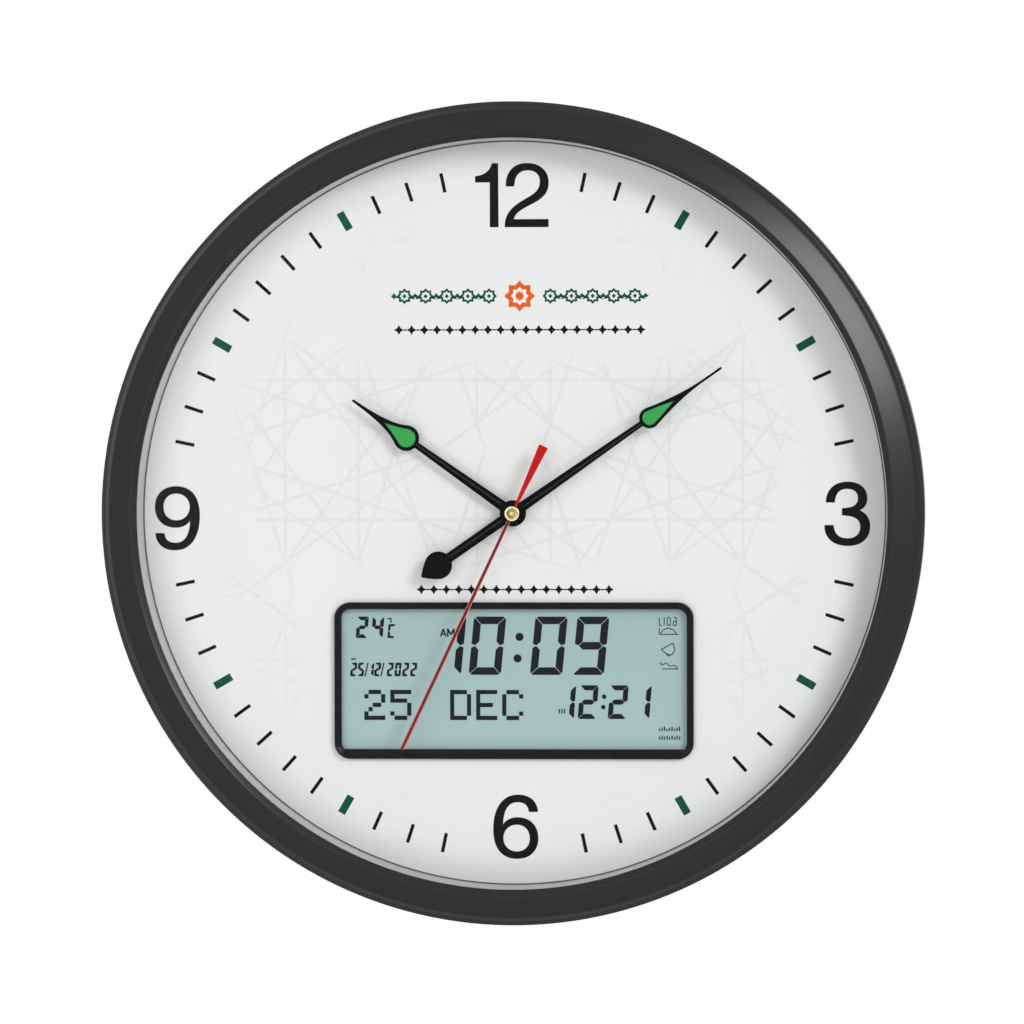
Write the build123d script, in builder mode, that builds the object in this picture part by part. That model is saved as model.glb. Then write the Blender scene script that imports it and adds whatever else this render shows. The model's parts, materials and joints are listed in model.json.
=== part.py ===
"""Round wall clock with three hands, a liquid-crystal panel, a quartz movement and a moulded back.

Millimetres. The wall is the plane y = 0, the clock faces -Y and +Z is up. The origin is the centre
of the round entry of the hanging keyhole. A height is a distance from the wall towards the viewer,
and a centre is an (across, up) pair measured from the hand axis.
"""

from build123d import *
import os
from math import cos, hypot, atan2, degrees, radians, sin

# ---------------------------------------------------------------- driving dimensions

# Whole clock
CLOCK_RADIUS = 190.0
HANGER_INSET = 44.0
FIT = 0.05
RUNNING_FIT = 0.06

# Depth stack, from the wall towards the viewer
COVER_RECESS = 3.0
COVER_THICKNESS = 2.4
MOVEMENT_REVEAL = 4.2
MOVEMENT_DEPTH = 15.8
CUSHION_THICKNESS = 0.5
DIAL_THICKNESS = 1.5
DIAL_RECESS = 17.0
GLASS_THICKNESS = 2.0

# Front frame
FRAME_WIDTH = 13.6
POCKET_CLEARANCE = 0.4
LIP_REACH = 2.6
LIP_THICKNESS = 1.6
CROWN_INSET = 2.2
CROWN_RISE = 1.8
BAND_FALL = 4.2
BAND_BULGE = 0.5
STEP_WIDTH = 3.7
STEP_RISE = 1.6
SHOULDER_SLOPE = 1.8
SKIRT_WALL = 3.0
INNER_WALL = 2.0
INNER_WALL_OVERLAP = 2.0
SCREW_COUNT = 4
BOSS_BITE = 0.3
PILOT_DEPTH = 12.0

# Dial ring between the glass and the dial
DIAL_RING_INSET = 0.3
DIAL_RING_DRAFT = 0.5

# Back cover
COVER_CLEARANCE = 0.5
SCREW_RADIUS = 1.5
SCREW_HOLE_CLEARANCE = 0.2
SCREW_HEAD_RADIUS = 3.1
SCREW_HEAD_HEIGHT = 2.0
CLAMP_INSET = 4.6
CLAMP_WALL = 2.4
CLAMP_LENGTH = 16.0
CLAMP_COUNT = 8
WINDOW_CLEARANCE = 0.8
RIB_HEIGHT = 5.0
RIB_WIDTH = 1.8

# Hanger
HANGER_WIDTH = 30.0
HANGER_BELOW = 10.0
HANGER_ABOVE = 18.0
HANGER_THICKNESS = 1.2
KEYHOLE_RADIUS = 4.5
KEYHOLE_SLOT = 4.4
KEYHOLE_RISE = 9.0
HOUSING_MARGIN = 4.0
POCKET_WIDTH = 18.0
POCKET_MARGIN = 3.0
RIVET_RADIUS = 1.5

# Quartz movement
MOVEMENT_HEIGHT = 56.0
CASE_WALL = 1.4
CASE_CORNER = 2.0
CASE_FRONT = 1.8
LID_THICKNESS = 1.6
BUSH_RADIUS = 4.0
BUSH_LENGTH = 5.6
BUSH_HOLE_CLEARANCE = 0.3
NUT_FLATS = 10.0
NUT_HEIGHT = 2.2
WASHER_RADIUS = 5.6
WASHER_THICKNESS = 0.6
CUSHION_RADIUS = 9.0

# Standard AA cell
CELL_RADIUS = 7.1
CELL_LENGTH = 49.2
CELL_NUB_RADIUS = 2.7
CELL_NUB_LENGTH = 1.2
CELL_CLEARANCE = 0.4
CONTACT_THICKNESS = 0.4
CONTACT_GAP = 0.7

# Arbors and gear train
SECOND_ARBOR = 0.5
MINUTE_TUBE = 1.6
HOUR_TUBE = 2.5
KNOB_ARBOR = 0.9
WHEEL_ARBOR = 0.5
PIVOT_DEPTH = 1.2
WHEEL_THICKNESS = 0.8
SECOND_RISE = 1.8
IDLER_RISE = 1.8
THIRD_RISE = 1.2
CENTRE_RISE = 1.8
MOTION_RISE = 1.4
HOUR_RISE = 2.0
SECOND_TEETH = 48
SECOND_PINION = 8
THIRD_TEETH = 60
THIRD_PINION = 8
CENTRE_TEETH = 64
IDLER_TEETH = 40
IDLER_PINION = 8
ROTOR_PINION = 8
MINUTE_PINION = 10
MOTION_TEETH = 30
MOTION_PINION = 8
HOUR_TEETH = 32
MOTION_DISTANCE = 10.8
THIRD_DISTANCE = 10.2
IDLER_DISTANCE = 10.6
ROTOR_DIRECTION = 45.0
TIP_HEIGHT = 0.8
ROOT_DEPTH = 1.15
TIP_HALF = 0.11
ROOT_HALF = 0.2
MAGNET_RADIUS = 2.6
MAGNET_LENGTH = 2.2
STATOR_THICKNESS = 0.8
STATOR_SPAN = 18.0
STATOR_LEG = 4.0
POLE_WIDTH = 3.0
CORE_WIDTH = 2.6
COIL_RADIUS = 2.6
COIL_LENGTH = 14.0
MODULE_WIDTH = 20.0
MODULE_HEIGHT = 9.0
KNOB_RADIUS = 6.0
KNOB_SIDES = 12
KNOB_HEIGHT = 2.6

# Hands: thickness, length and clock angle at rest
HAND_THICKNESS = 0.8
HOUR_LENGTH = 90.7
HOUR_ANGLE = 304.9
MINUTE_LENGTH = 118.0
MINUTE_ANGLE = 54.8
SECOND_LENGTH = 118.8
SECOND_ANGLE = 205.2
HOUR_HUB = 6.1
MINUTE_HUB = 4.8
SECOND_HUB = 2.2
HOUR_DROP_AT = 61.0
HOUR_DROP_RADIUS = 6.05
HOUR_BORDER = 1.65
HOUR_PANE_POINT = 72.8
HOUR_ROOT_HALF = 2.1
HOUR_NECK_HALF = 1.25
MINUTE_DROP_AT = 77.3
MINUTE_DROP_RADIUS = 4.8
MINUTE_BORDER = 1.4
MINUTE_PANE_POINT = 90.1
MINUTE_ROOT_HALF = 1.85
MINUTE_NECK_HALF = 1.1
MINUTE_TAIL_HALF = 2.1
DROP_LEAVE = 70.0
NEEDLE_START = 3.2
NEEDLE_HALF = 0.75
NEEDLE_TIP = 0.5
TAIL_LEAF_AT = 42.3
TAIL_LEAF_RADIUS = 6.6
TAIL_LEAF_LEAVE = 125.0
TAIL_LENGTH = 52.0
SECOND_TAIL = 34.2
SECOND_ROOT_HALF = 0.7
SECOND_TIP_HALF = 0.4
SECOND_TAIL_HALF = 1.9
HOUR_GAP = 1.0
MINUTE_GAP = 2.2
SECOND_GAP = 2.2
CAP_RADIUS = 3.4
CAP_HEIGHT = 1.5
CAP_STEM = 1.0

# Liquid-crystal panel
PANEL_DROP = 77.6
BEZEL_WIDTH = 166.6
BEZEL_HEIGHT = 72.6
BEZEL_CORNER = 7.4
BEZEL_RISE = 2.6
BEZEL_BORDER = 3.2
BEZEL_SLOPE = 1.0
SKIRT_THICKNESS = 0.9
CUT_CLEARANCE = 0.3
PANEL_THICKNESS = 2.6
PANEL_MARGIN = 2.4
REFLECTOR_THICKNESS = 1.0
REFLECTOR_MARGIN = 2.2
HOLDER_WALL = 3.0
HOLDER_LEDGE = 1.6
STRIP_WIDTH = 2.0
BOARD_THICKNESS = 1.6
BOARD_MARGIN = 4.0

# Buttons
BUTTON_COUNT = 6
BUTTON_SPACING = 20.0
BUTTON_DROP = 106.0
BUTTON_RADIUS = 3.5
BUTTON_CLEARANCE = 0.3
BUTTON_PROUD = 1.4
BUTTON_FLANGE = 9.0
BUTTON_FLANGE_THICKNESS = 1.0
BUTTON_STEM = 3.0
BUTTON_TRAVEL = 0.8
SWITCH_SIZE = 6.0
SWITCH_HEIGHT = 2.6

# Electronic parts on the back of the board
CHIP_COUNT = 3
CHIP_PITCH = 30.0
CHIP_WIDTH = 12.0
CHIP_HEIGHT = 9.0
CHIP_THICKNESS = 1.8
CAPACITOR_RADIUS = 4.0
CAPACITOR_HEIGHT = 6.0

# Battery compartment for the panel
BAY_CENTRE = (88.0, 30.0)
BAY_GAP = 1.3
BAY_WALL = 1.5
DOOR_THICKNESS = 2.0
DOOR_MARGIN = 3.0
DOOR_CLEARANCE = 0.3
LATCH_WIDTH = 12.0

# Speaker
SPEAKER_CENTRE = (-88.0, 30.0)
SPEAKER_RADIUS = 25.0
SPEAKER_DEPTH = 13.0
SPEAKER_MAGNET_RADIUS = 13.0
SPEAKER_MAGNET_HEIGHT = 4.0
BASKET_FLANGE = 0.8
BASKET_WALL = 1.0
BASKET_RIM = 4.0
SPEAKER_CLIPS = 4
CLIP_LENGTH = 8.0
CONE_NECK = 7.0
CONE_WALL = 0.5
GRILLE_SLOTS = 9
GRILLE_PITCH = 4.6
GRILLE_SLOT = 2.4

# ---------------------------------------------------------------- derived heights, radii and lengths

COVER_INSIDE = COVER_RECESS + COVER_THICKNESS
MOVEMENT_FRONT = MOVEMENT_REVEAL + MOVEMENT_DEPTH
DIAL_BACK = MOVEMENT_FRONT + CUSHION_THICKNESS
DIAL_FRONT = DIAL_BACK + DIAL_THICKNESS
GLASS_BACK = DIAL_FRONT + DIAL_RECESS
GLASS_FRONT = GLASS_BACK + GLASS_THICKNESS

GLASS_RADIUS = CLOCK_RADIUS - FRAME_WIDTH
POCKET_RADIUS = GLASS_RADIUS + POCKET_CLEARANCE
LIP_RADIUS = GLASS_RADIUS - LIP_REACH
HOLLOW_INNER = POCKET_RADIUS + INNER_WALL
HOLLOW_OUTER = CLOCK_RADIUS - SKIRT_WALL
COVER_RADIUS = HOLLOW_OUTER - COVER_CLEARANCE
SCREW_CIRCLE = (HOLLOW_INNER + HOLLOW_OUTER) / 2
BOSS_RADIUS = (HOLLOW_OUTER - HOLLOW_INNER) / 2 + BOSS_BITE
HANGER_DROP = CLOCK_RADIUS - HANGER_INSET

CELL_BAY_LENGTH = CELL_LENGTH + CELL_NUB_LENGTH + 2 * CONTACT_GAP
MOVEMENT_WIDTH = CELL_BAY_LENGTH + 3 * CASE_WALL
BAY_LENGTH = CELL_LENGTH + CELL_NUB_LENGTH + 2 * BAY_GAP

FACE = Plane(origin=(0, 0, -HANGER_DROP), x_dir=(1, 0, 0), z_dir=(0, -1, 0))
SECTION = Plane(origin=(0, 0, -HANGER_DROP), x_dir=(1, 0, 0), z_dir=(0, 0, -1))
HAND_AXIS = Axis((0, 0, -HANGER_DROP), (0, -1, 0))


def level(height):
    """Plane parallel to the dial at a height above the wall, x to the right and y up."""
    return FACE.offset(height)


def turning_plane(centre):
    """Half plane for a turned profile about a centre: x is the radius and y is the height."""
    return Plane(origin=(centre[0], 0, centre[1] - HANGER_DROP), x_dir=(1, 0, 0), z_dir=(0, 0, -1))


def turning_axis(centre):
    """Axis square to the wall through a centre."""
    return Axis((centre[0], 0, centre[1] - HANGER_DROP), (0, -1, 0))


def hand_plane(height, clock_angle):
    """Plane at a height whose x direction points from the hand axis to a clock angle."""
    heading = radians(clock_angle)
    return Plane(origin=level(height).origin, x_dir=(sin(heading), 0, cos(heading)), z_dir=(0, -1, 0))


def polar_centre(start, distance, direction):
    """Centre at a distance from another centre, in a direction counted in degrees from +X."""
    return (start[0] + distance * cos(radians(direction)), start[1] + distance * sin(radians(direction)))


def toothed_outline(teeth, module, phase):
    """Corners of a toothed outline with one tooth centred on the phase angle in degrees."""
    root = module * (teeth / 2 - ROOT_DEPTH)
    tip = module * (teeth / 2 + TIP_HEIGHT)
    tooth = ((root, -ROOT_HALF), (tip, -TIP_HALF), (tip, TIP_HALF), (root, ROOT_HALF))
    corners = []
    for index in range(teeth):
        for radius, share in tooth:
            angle = radians(phase + (index + share) * 360 / teeth)
            corners.append((radius * cos(angle), radius * sin(angle)))
    return corners


def mesh_phases(driver, driven, driven_teeth):
    """Phases that set a driver's tooth into a driven wheel's gap on their line of centres."""
    direction = degrees(atan2(driven[1] - driver[1], driven[0] - driver[0]))
    return direction, direction + 180 + 180 / driven_teeth


os.makedirs("parts", exist_ok=True)

# ---------------------------------------------------------------- front frame

crown_radius = LIP_RADIUS + CROWN_INSET
lip_top = GLASS_FRONT + LIP_THICKNESS
crown_height = lip_top + CROWN_RISE
band_radius = CLOCK_RADIUS - STEP_WIDTH
band_height = crown_height - BAND_FALL
ledge_height = band_height - STEP_RISE
band_middle = ((crown_radius + band_radius) / 2, (crown_height + band_height) / 2 + BAND_BULGE)
inner_wall_end = DIAL_BACK - INNER_WALL_OVERLAP
roof_outer = ledge_height - SKIRT_WALL
boss_top = roof_outer + STEP_RISE

with BuildPart() as front_frame:
    with BuildSketch(SECTION):
        with BuildLine():
            Polyline(
                (CLOCK_RADIUS, 0),
                (CLOCK_RADIUS, ledge_height - SHOULDER_SLOPE),
                (CLOCK_RADIUS - SHOULDER_SLOPE, ledge_height),
                (band_radius, ledge_height),
                (band_radius, band_height),
            )
            ThreePointArc((band_radius, band_height), band_middle, (crown_radius, crown_height))
            Polyline(
                (crown_radius, crown_height),
                (LIP_RADIUS, lip_top),
                (LIP_RADIUS, GLASS_FRONT),
                (POCKET_RADIUS, GLASS_FRONT),
                (POCKET_RADIUS, inner_wall_end),
                (HOLLOW_INNER, inner_wall_end),
                (HOLLOW_INNER, GLASS_FRONT),
                (HOLLOW_OUTER, roof_outer),
                (HOLLOW_OUTER, 0),
                (CLOCK_RADIUS, 0),
            )
        make_face()
    revolve(axis=HAND_AXIS)
    with BuildSketch(level(COVER_INSIDE)):
        with PolarLocations(SCREW_CIRCLE, SCREW_COUNT):
            Circle(BOSS_RADIUS)
    extrude(amount=boss_top - COVER_INSIDE)
    with BuildSketch(level(COVER_INSIDE)):
        with PolarLocations(SCREW_CIRCLE, SCREW_COUNT):
            Circle(SCREW_RADIUS + FIT)
    extrude(amount=PILOT_DEPTH, mode=Mode.SUBTRACT)

# ---------------------------------------------------------------- glass, dial ring and dial

with BuildPart() as front_glass:
    with BuildSketch(level(GLASS_BACK)):
        Circle(GLASS_RADIUS)
    extrude(amount=GLASS_THICKNESS)

ring_front = LIP_RADIUS - DIAL_RING_INSET

with BuildPart() as dial_ring:
    with BuildSketch(SECTION):
        Polygon(
            (GLASS_RADIUS, DIAL_FRONT),
            (GLASS_RADIUS, GLASS_BACK),
            (ring_front, GLASS_BACK),
            (ring_front - DIAL_RING_DRAFT, DIAL_FRONT),
        )
    revolve(axis=HAND_AXIS)

panel_centre = (0, -PANEL_DROP)
skirt_width = BEZEL_WIDTH - 2 * BEZEL_BORDER + 2 * SKIRT_THICKNESS
skirt_height = BEZEL_HEIGHT - 2 * BEZEL_BORDER + 2 * SKIRT_THICKNESS
window_width = BEZEL_WIDTH - 2 * BEZEL_BORDER
window_height = BEZEL_HEIGHT - 2 * BEZEL_BORDER
window_corner = BEZEL_CORNER - BEZEL_BORDER

with BuildPart() as dial:
    with BuildSketch(level(DIAL_BACK)):
        Circle(GLASS_RADIUS)
        Circle(BUSH_RADIUS + BUSH_HOLE_CLEARANCE, mode=Mode.SUBTRACT)
        with Locations(panel_centre):
            RectangleRounded(
                skirt_width + 2 * CUT_CLEARANCE,
                skirt_height + 2 * CUT_CLEARANCE,
                window_corner + SKIRT_THICKNESS + CUT_CLEARANCE,
                mode=Mode.SUBTRACT,
            )
    extrude(amount=DIAL_THICKNESS)

# ---------------------------------------------------------------- liquid-crystal panel

with BuildPart() as lcd_bezel:
    with BuildSketch(level(DIAL_FRONT)):
        with Locations(panel_centre):
            RectangleRounded(BEZEL_WIDTH, BEZEL_HEIGHT, BEZEL_CORNER)
    extrude(amount=BEZEL_RISE)
    chamfer(lcd_bezel.faces().sort_by(Axis.Y)[0].edges(), length=BEZEL_SLOPE)
    with BuildSketch(level(DIAL_BACK)):
        with Locations(panel_centre):
            RectangleRounded(skirt_width, skirt_height, window_corner + SKIRT_THICKNESS)
    extrude(amount=DIAL_THICKNESS)
    with BuildSketch(level(DIAL_BACK)):
        with Locations(panel_centre):
            RectangleRounded(window_width, window_height, window_corner)
    extrude(amount=DIAL_THICKNESS + BEZEL_RISE, mode=Mode.SUBTRACT)

panel_width = skirt_width + 2 * PANEL_MARGIN
panel_height = skirt_height + 2 * PANEL_MARGIN
panel_back = DIAL_BACK - PANEL_THICKNESS
reflector_back = panel_back - REFLECTOR_THICKNESS
board_front = reflector_back - HOLDER_LEDGE
board_back = board_front - BOARD_THICKNESS
reflector_width = panel_width - 2 * REFLECTOR_MARGIN - 2 * STRIP_WIDTH
reflector_height = panel_height - 2 * REFLECTOR_MARGIN - 2 * STRIP_WIDTH
strip_offset = panel_height / 2 - STRIP_WIDTH
holder_width = panel_width + 2 * FIT + 2 * HOLDER_WALL
holder_height = panel_height + 2 * FIT + 2 * HOLDER_WALL
board_width = holder_width + 2 * BOARD_MARGIN
board_height = holder_height + 2 * BOARD_MARGIN

with BuildPart() as lcd_panel:
    with BuildSketch(level(panel_back)):
        with Locations(panel_centre):
            Rectangle(panel_width, panel_height)
    extrude(amount=PANEL_THICKNESS)

with BuildPart() as lcd_reflector:
    with BuildSketch(level(reflector_back)):
        with Locations(panel_centre):
            Rectangle(reflector_width, reflector_height)
    extrude(amount=REFLECTOR_THICKNESS)

with BuildPart() as lcd_holder:
    with BuildSketch(level(board_front)):
        with Locations(panel_centre):
            RectangleRounded(holder_width, holder_height, HOLDER_WALL)
    extrude(amount=DIAL_BACK - board_front)
    with BuildSketch(level(reflector_back)):
        with Locations(panel_centre):
            Rectangle(panel_width + 2 * FIT, panel_height + 2 * FIT)
    extrude(amount=DIAL_BACK - reflector_back, mode=Mode.SUBTRACT)
    with BuildSketch(level(board_front)):
        with Locations(panel_centre):
            Rectangle(reflector_width - 2 * HOLDER_WALL, reflector_height - 2 * HOLDER_WALL)
            with GridLocations(0, 2 * strip_offset, 1, 2):
                Rectangle(reflector_width, STRIP_WIDTH + 2 * FIT)
    extrude(amount=HOLDER_LEDGE, mode=Mode.SUBTRACT)

with BuildPart() as contact_strips:
    with BuildSketch(level(board_front)):
        with Locations(panel_centre):
            with GridLocations(0, 2 * strip_offset, 1, 2):
                Rectangle(reflector_width - 2 * FIT, STRIP_WIDTH)
    extrude(amount=panel_back - board_front)

with BuildPart() as main_board:
    with BuildSketch(level(board_back)):
        with Locations(panel_centre):
            Rectangle(board_width, board_height)
    extrude(amount=BOARD_THICKNESS)

# ---------------------------------------------------------------- buttons and their switches

button_centres = [
    ((index - (BUTTON_COUNT - 1) / 2) * BUTTON_SPACING, -BUTTON_DROP) for index in range(BUTTON_COUNT)
]
button_tip = board_back - SWITCH_HEIGHT - BUTTON_TRAVEL - FIT
flange_low = COVER_INSIDE + FIT


def push_button(centre):
    """Cap through the cover, a flange that keeps it in and a stem that reaches the switch."""
    with BuildPart() as button:
        with BuildSketch(level(COVER_RECESS - BUTTON_PROUD)):
            with Locations(centre):
                Circle(BUTTON_RADIUS)
        extrude(amount=flange_low - COVER_RECESS + BUTTON_PROUD)
        with BuildSketch(level(flange_low)):
            with Locations(centre):
                Rectangle(BUTTON_FLANGE, BUTTON_FLANGE)
        extrude(amount=BUTTON_FLANGE_THICKNESS)
        with BuildSketch(level(flange_low)):
            with Locations(centre):
                Rectangle(BUTTON_STEM, BUTTON_STEM)
        extrude(amount=button_tip - flange_low)
    return button


button_names = ("mode_button", "set_button", "up_button", "down_button", "volume_button", "light_button")
buttons = {name: push_button(centre) for name, centre in zip(button_names, button_centres)}

with BuildPart() as tact_switches:
    with BuildSketch(level(board_back - SWITCH_HEIGHT)):
        with Locations(*button_centres):
            Rectangle(SWITCH_SIZE, SWITCH_SIZE)
    extrude(amount=SWITCH_HEIGHT)

chip_level = board_back - CHIP_THICKNESS
capacitor_level = board_back - CAPACITOR_HEIGHT
parts_row = (panel_centre[0], panel_centre[1] + board_height / 4)

with BuildPart() as board_parts:
    with BuildSketch(level(chip_level)):
        with Locations(parts_row):
            with GridLocations(CHIP_PITCH, 0, CHIP_COUNT, 1):
                Rectangle(CHIP_WIDTH, CHIP_HEIGHT)
    extrude(amount=CHIP_THICKNESS)
    with BuildSketch(level(capacitor_level)):
        with Locations(parts_row):
            with GridLocations((CHIP_COUNT + 1) * CHIP_PITCH, 0, 2, 1):
                Circle(CAPACITOR_RADIUS)
    extrude(amount=CAPACITOR_HEIGHT)

# ---------------------------------------------------------------- battery compartment sizes

bay_height = 4 * CELL_RADIUS + 3 * CELL_CLEARANCE
bay_floor = DIAL_BACK - BAY_WALL / 2
cell_axis = bay_floor - CELL_CLEARANCE - CELL_RADIUS
cell_rise = CELL_RADIUS + CELL_CLEARANCE / 2
cell_centres = ((BAY_CENTRE[0], BAY_CENTRE[1] - cell_rise), (BAY_CENTRE[0], BAY_CENTRE[1] + cell_rise))
door_width = BAY_LENGTH + 2 * BAY_WALL + 2 * DOOR_MARGIN
door_height = bay_height + 2 * BAY_WALL + 2 * DOOR_MARGIN

# ---------------------------------------------------------------- back cover

hanger_centre = (0, HANGER_DROP + (HANGER_ABOVE - HANGER_BELOW) / 2)
hanger_height = HANGER_ABOVE + HANGER_BELOW
housing_width = HANGER_WIDTH + 2 * HOUSING_MARGIN
housing_height = hanger_height + 2 * HOUSING_MARGIN
rivet_columns = HANGER_WIDTH - 2 * POCKET_MARGIN
pocket_height = KEYHOLE_RADIUS + KEYHOLE_RISE + KEYHOLE_SLOT / 2 + 2 * POCKET_MARGIN
pocket_centre = (0, HANGER_DROP - KEYHOLE_RADIUS - POCKET_MARGIN + pocket_height / 2)
grille_span = SPEAKER_RADIUS - GRILLE_PITCH
clamp_circle = GLASS_RADIUS - CLAMP_INSET
rib_start = hypot(MOVEMENT_WIDTH, MOVEMENT_HEIGHT) / 2 + RIB_HEIGHT
rib_length = clamp_circle - rib_start
rib_angles = (60, 120, 210, 270, 330)

with BuildPart() as back_cover:
    with BuildSketch(level(COVER_RECESS)):
        Circle(COVER_RADIUS)
    extrude(amount=COVER_THICKNESS)
    # Openings through the cover
    with BuildSketch(level(0)):
        RectangleRounded(
            MOVEMENT_WIDTH + 2 * WINDOW_CLEARANCE,
            MOVEMENT_HEIGHT + 2 * WINDOW_CLEARANCE,
            CASE_CORNER + WINDOW_CLEARANCE,
        )
        with Locations(hanger_centre):
            Rectangle(housing_width + 2 * FIT, housing_height + 2 * FIT)
        with PolarLocations(SCREW_CIRCLE, SCREW_COUNT):
            Circle(SCREW_RADIUS + SCREW_HOLE_CLEARANCE)
        with Locations(*button_centres):
            Circle(BUTTON_RADIUS + BUTTON_CLEARANCE)
        for index in range(GRILLE_SLOTS):
            rise = (index - (GRILLE_SLOTS - 1) / 2) * GRILLE_PITCH
            half = (grille_span**2 - rise**2) ** 0.5
            with Locations((SPEAKER_CENTRE[0], SPEAKER_CENTRE[1] + rise)):
                Rectangle(2 * half, GRILLE_SLOT)
    extrude(amount=COVER_INSIDE, mode=Mode.SUBTRACT)
    with BuildSketch(level(COVER_RECESS)):
        with Locations(BAY_CENTRE):
            Rectangle(BAY_LENGTH, bay_height)
    extrude(amount=bay_floor - COVER_RECESS, mode=Mode.SUBTRACT)
    with BuildSketch(level(COVER_RECESS)):
        with Locations(BAY_CENTRE):
            Rectangle(door_width + 2 * DOOR_CLEARANCE, door_height + 2 * DOOR_CLEARANCE)
    extrude(amount=DOOR_THICKNESS, mode=Mode.SUBTRACT)

# Block in the cover that carries the plate, with the pocket behind the keyhole
with BuildPart() as hanger_housing:
    with BuildSketch(level(HANGER_THICKNESS)):
        with Locations(hanger_centre):
            Rectangle(housing_width, housing_height)
        with Locations(pocket_centre):
            Rectangle(POCKET_WIDTH, pocket_height, mode=Mode.SUBTRACT)
        with Locations(hanger_centre):
            with GridLocations(rivet_columns, 0, 2, 1):
                Circle(RIVET_RADIUS + FIT, mode=Mode.SUBTRACT)
    extrude(amount=COVER_INSIDE - HANGER_THICKNESS)

with BuildPart() as battery_tub:
    with BuildSketch(level(COVER_INSIDE)):
        with Locations(BAY_CENTRE):
            Rectangle(BAY_LENGTH + 2 * BAY_WALL, bay_height + 2 * BAY_WALL)
    extrude(amount=DIAL_BACK - COVER_INSIDE)
    with BuildSketch(level(COVER_INSIDE)):
        with Locations(BAY_CENTRE):
            Rectangle(BAY_LENGTH, bay_height)
    extrude(amount=bay_floor - COVER_INSIDE, mode=Mode.SUBTRACT)

# Posts that press the dial forward, ribs, board posts and speaker clips on the cover's inner face
with BuildPart() as cover_posts:
    with BuildSketch(level(COVER_INSIDE)):
        with PolarLocations(clamp_circle, CLAMP_COUNT, start_angle=180 / CLAMP_COUNT):
            Rectangle(CLAMP_WALL, CLAMP_LENGTH)
    extrude(amount=DIAL_BACK - COVER_INSIDE)
    with BuildSketch(level(COVER_INSIDE)):
        with Locations(panel_centre):
            with GridLocations(board_width - 2 * HOLDER_WALL, board_height - 2 * HOLDER_WALL, 2, 2):
                Rectangle(2 * HOLDER_WALL, 2 * HOLDER_WALL)
    extrude(amount=board_back - COVER_INSIDE)
    with BuildSketch(level(COVER_INSIDE)):
        with Locations(SPEAKER_CENTRE):
            with PolarLocations(SPEAKER_RADIUS + FIT + BAY_WALL / 2, SPEAKER_CLIPS):
                Rectangle(BAY_WALL, CLIP_LENGTH)
    extrude(amount=RIB_HEIGHT)
    with BuildSketch(level(COVER_INSIDE)):
        for angle in rib_angles:
            with PolarLocations(rib_start + rib_length / 2, 1, start_angle=angle):
                Rectangle(rib_length, RIB_WIDTH)
    extrude(amount=RIB_HEIGHT / 2)

with BuildPart() as cover_screws:
    with BuildSketch(level(COVER_RECESS - SCREW_HEAD_HEIGHT)):
        with PolarLocations(SCREW_CIRCLE, SCREW_COUNT):
            Circle(SCREW_HEAD_RADIUS)
    extrude(amount=SCREW_HEAD_HEIGHT)
    with BuildSketch(level(COVER_RECESS)):
        with PolarLocations(SCREW_CIRCLE, SCREW_COUNT):
            Circle(SCREW_RADIUS)
    extrude(amount=COVER_THICKNESS + PILOT_DEPTH - 2 * SCREW_HEAD_HEIGHT)

with BuildPart() as hanger_plate:
    with BuildSketch(level(0)):
        with Locations(hanger_centre):
            RectangleRounded(HANGER_WIDTH, hanger_height, POCKET_MARGIN)
        with Locations((0, HANGER_DROP)):
            Circle(KEYHOLE_RADIUS, mode=Mode.SUBTRACT)
        with Locations((0, HANGER_DROP + KEYHOLE_RISE / 2)):
            Rectangle(KEYHOLE_SLOT, KEYHOLE_RISE, mode=Mode.SUBTRACT)
        with Locations((0, HANGER_DROP + KEYHOLE_RISE)):
            Circle(KEYHOLE_SLOT / 2, mode=Mode.SUBTRACT)
        with Locations(hanger_centre):
            with GridLocations(rivet_columns, 0, 2, 1):
                Circle(RIVET_RADIUS + FIT, mode=Mode.SUBTRACT)
    extrude(amount=HANGER_THICKNESS)

with BuildPart() as hanger_rivets:
    with BuildSketch(level(0)):
        with Locations(hanger_centre):
            with GridLocations(rivet_columns, 0, 2, 1):
                Circle(RIVET_RADIUS)
    extrude(amount=COVER_INSIDE)

# ---------------------------------------------------------------- battery door, cells and contacts

with BuildPart() as battery_door:
    with BuildSketch(level(COVER_RECESS)):
        with Locations(BAY_CENTRE):
            Rectangle(door_width, door_height)
    extrude(amount=DOOR_THICKNESS - FIT)
    with BuildSketch(level(COVER_RECESS)):
        with Locations((BAY_CENTRE[0], BAY_CENTRE[1] + door_height / 2 - DOOR_MARGIN)):
            with GridLocations(0, GRILLE_SLOT, 1, 2):
                Rectangle(LATCH_WIDTH, DOOR_CLEARANCE * 2)
    extrude(amount=DOOR_THICKNESS / 2, mode=Mode.SUBTRACT)


def dry_cell(centre, axis_height, facing):
    """AA cell lying across the clock, its nub towards the facing side (-1 left, 1 right)."""
    can_start = centre[0] - facing * (CELL_LENGTH + CELL_NUB_LENGTH) / 2
    side = Plane(
        origin=(can_start, -axis_height, centre[1] - HANGER_DROP), x_dir=(0, -1, 0), z_dir=(facing, 0, 0)
    )
    with BuildPart() as cell:
        with BuildSketch(side):
            Circle(CELL_RADIUS)
        extrude(amount=CELL_LENGTH)
        with BuildSketch(side.offset(CELL_LENGTH)):
            Circle(CELL_NUB_RADIUS)
        extrude(amount=CELL_NUB_LENGTH)
    return cell


lower_cell = dry_cell(cell_centres[0], cell_axis, 1)
upper_cell = dry_cell(cell_centres[1], cell_axis, -1)
contact_reach = (BAY_LENGTH - CELL_LENGTH - CELL_NUB_LENGTH) / 2 - FIT
contact_width = 1.4 * CELL_RADIUS


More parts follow.
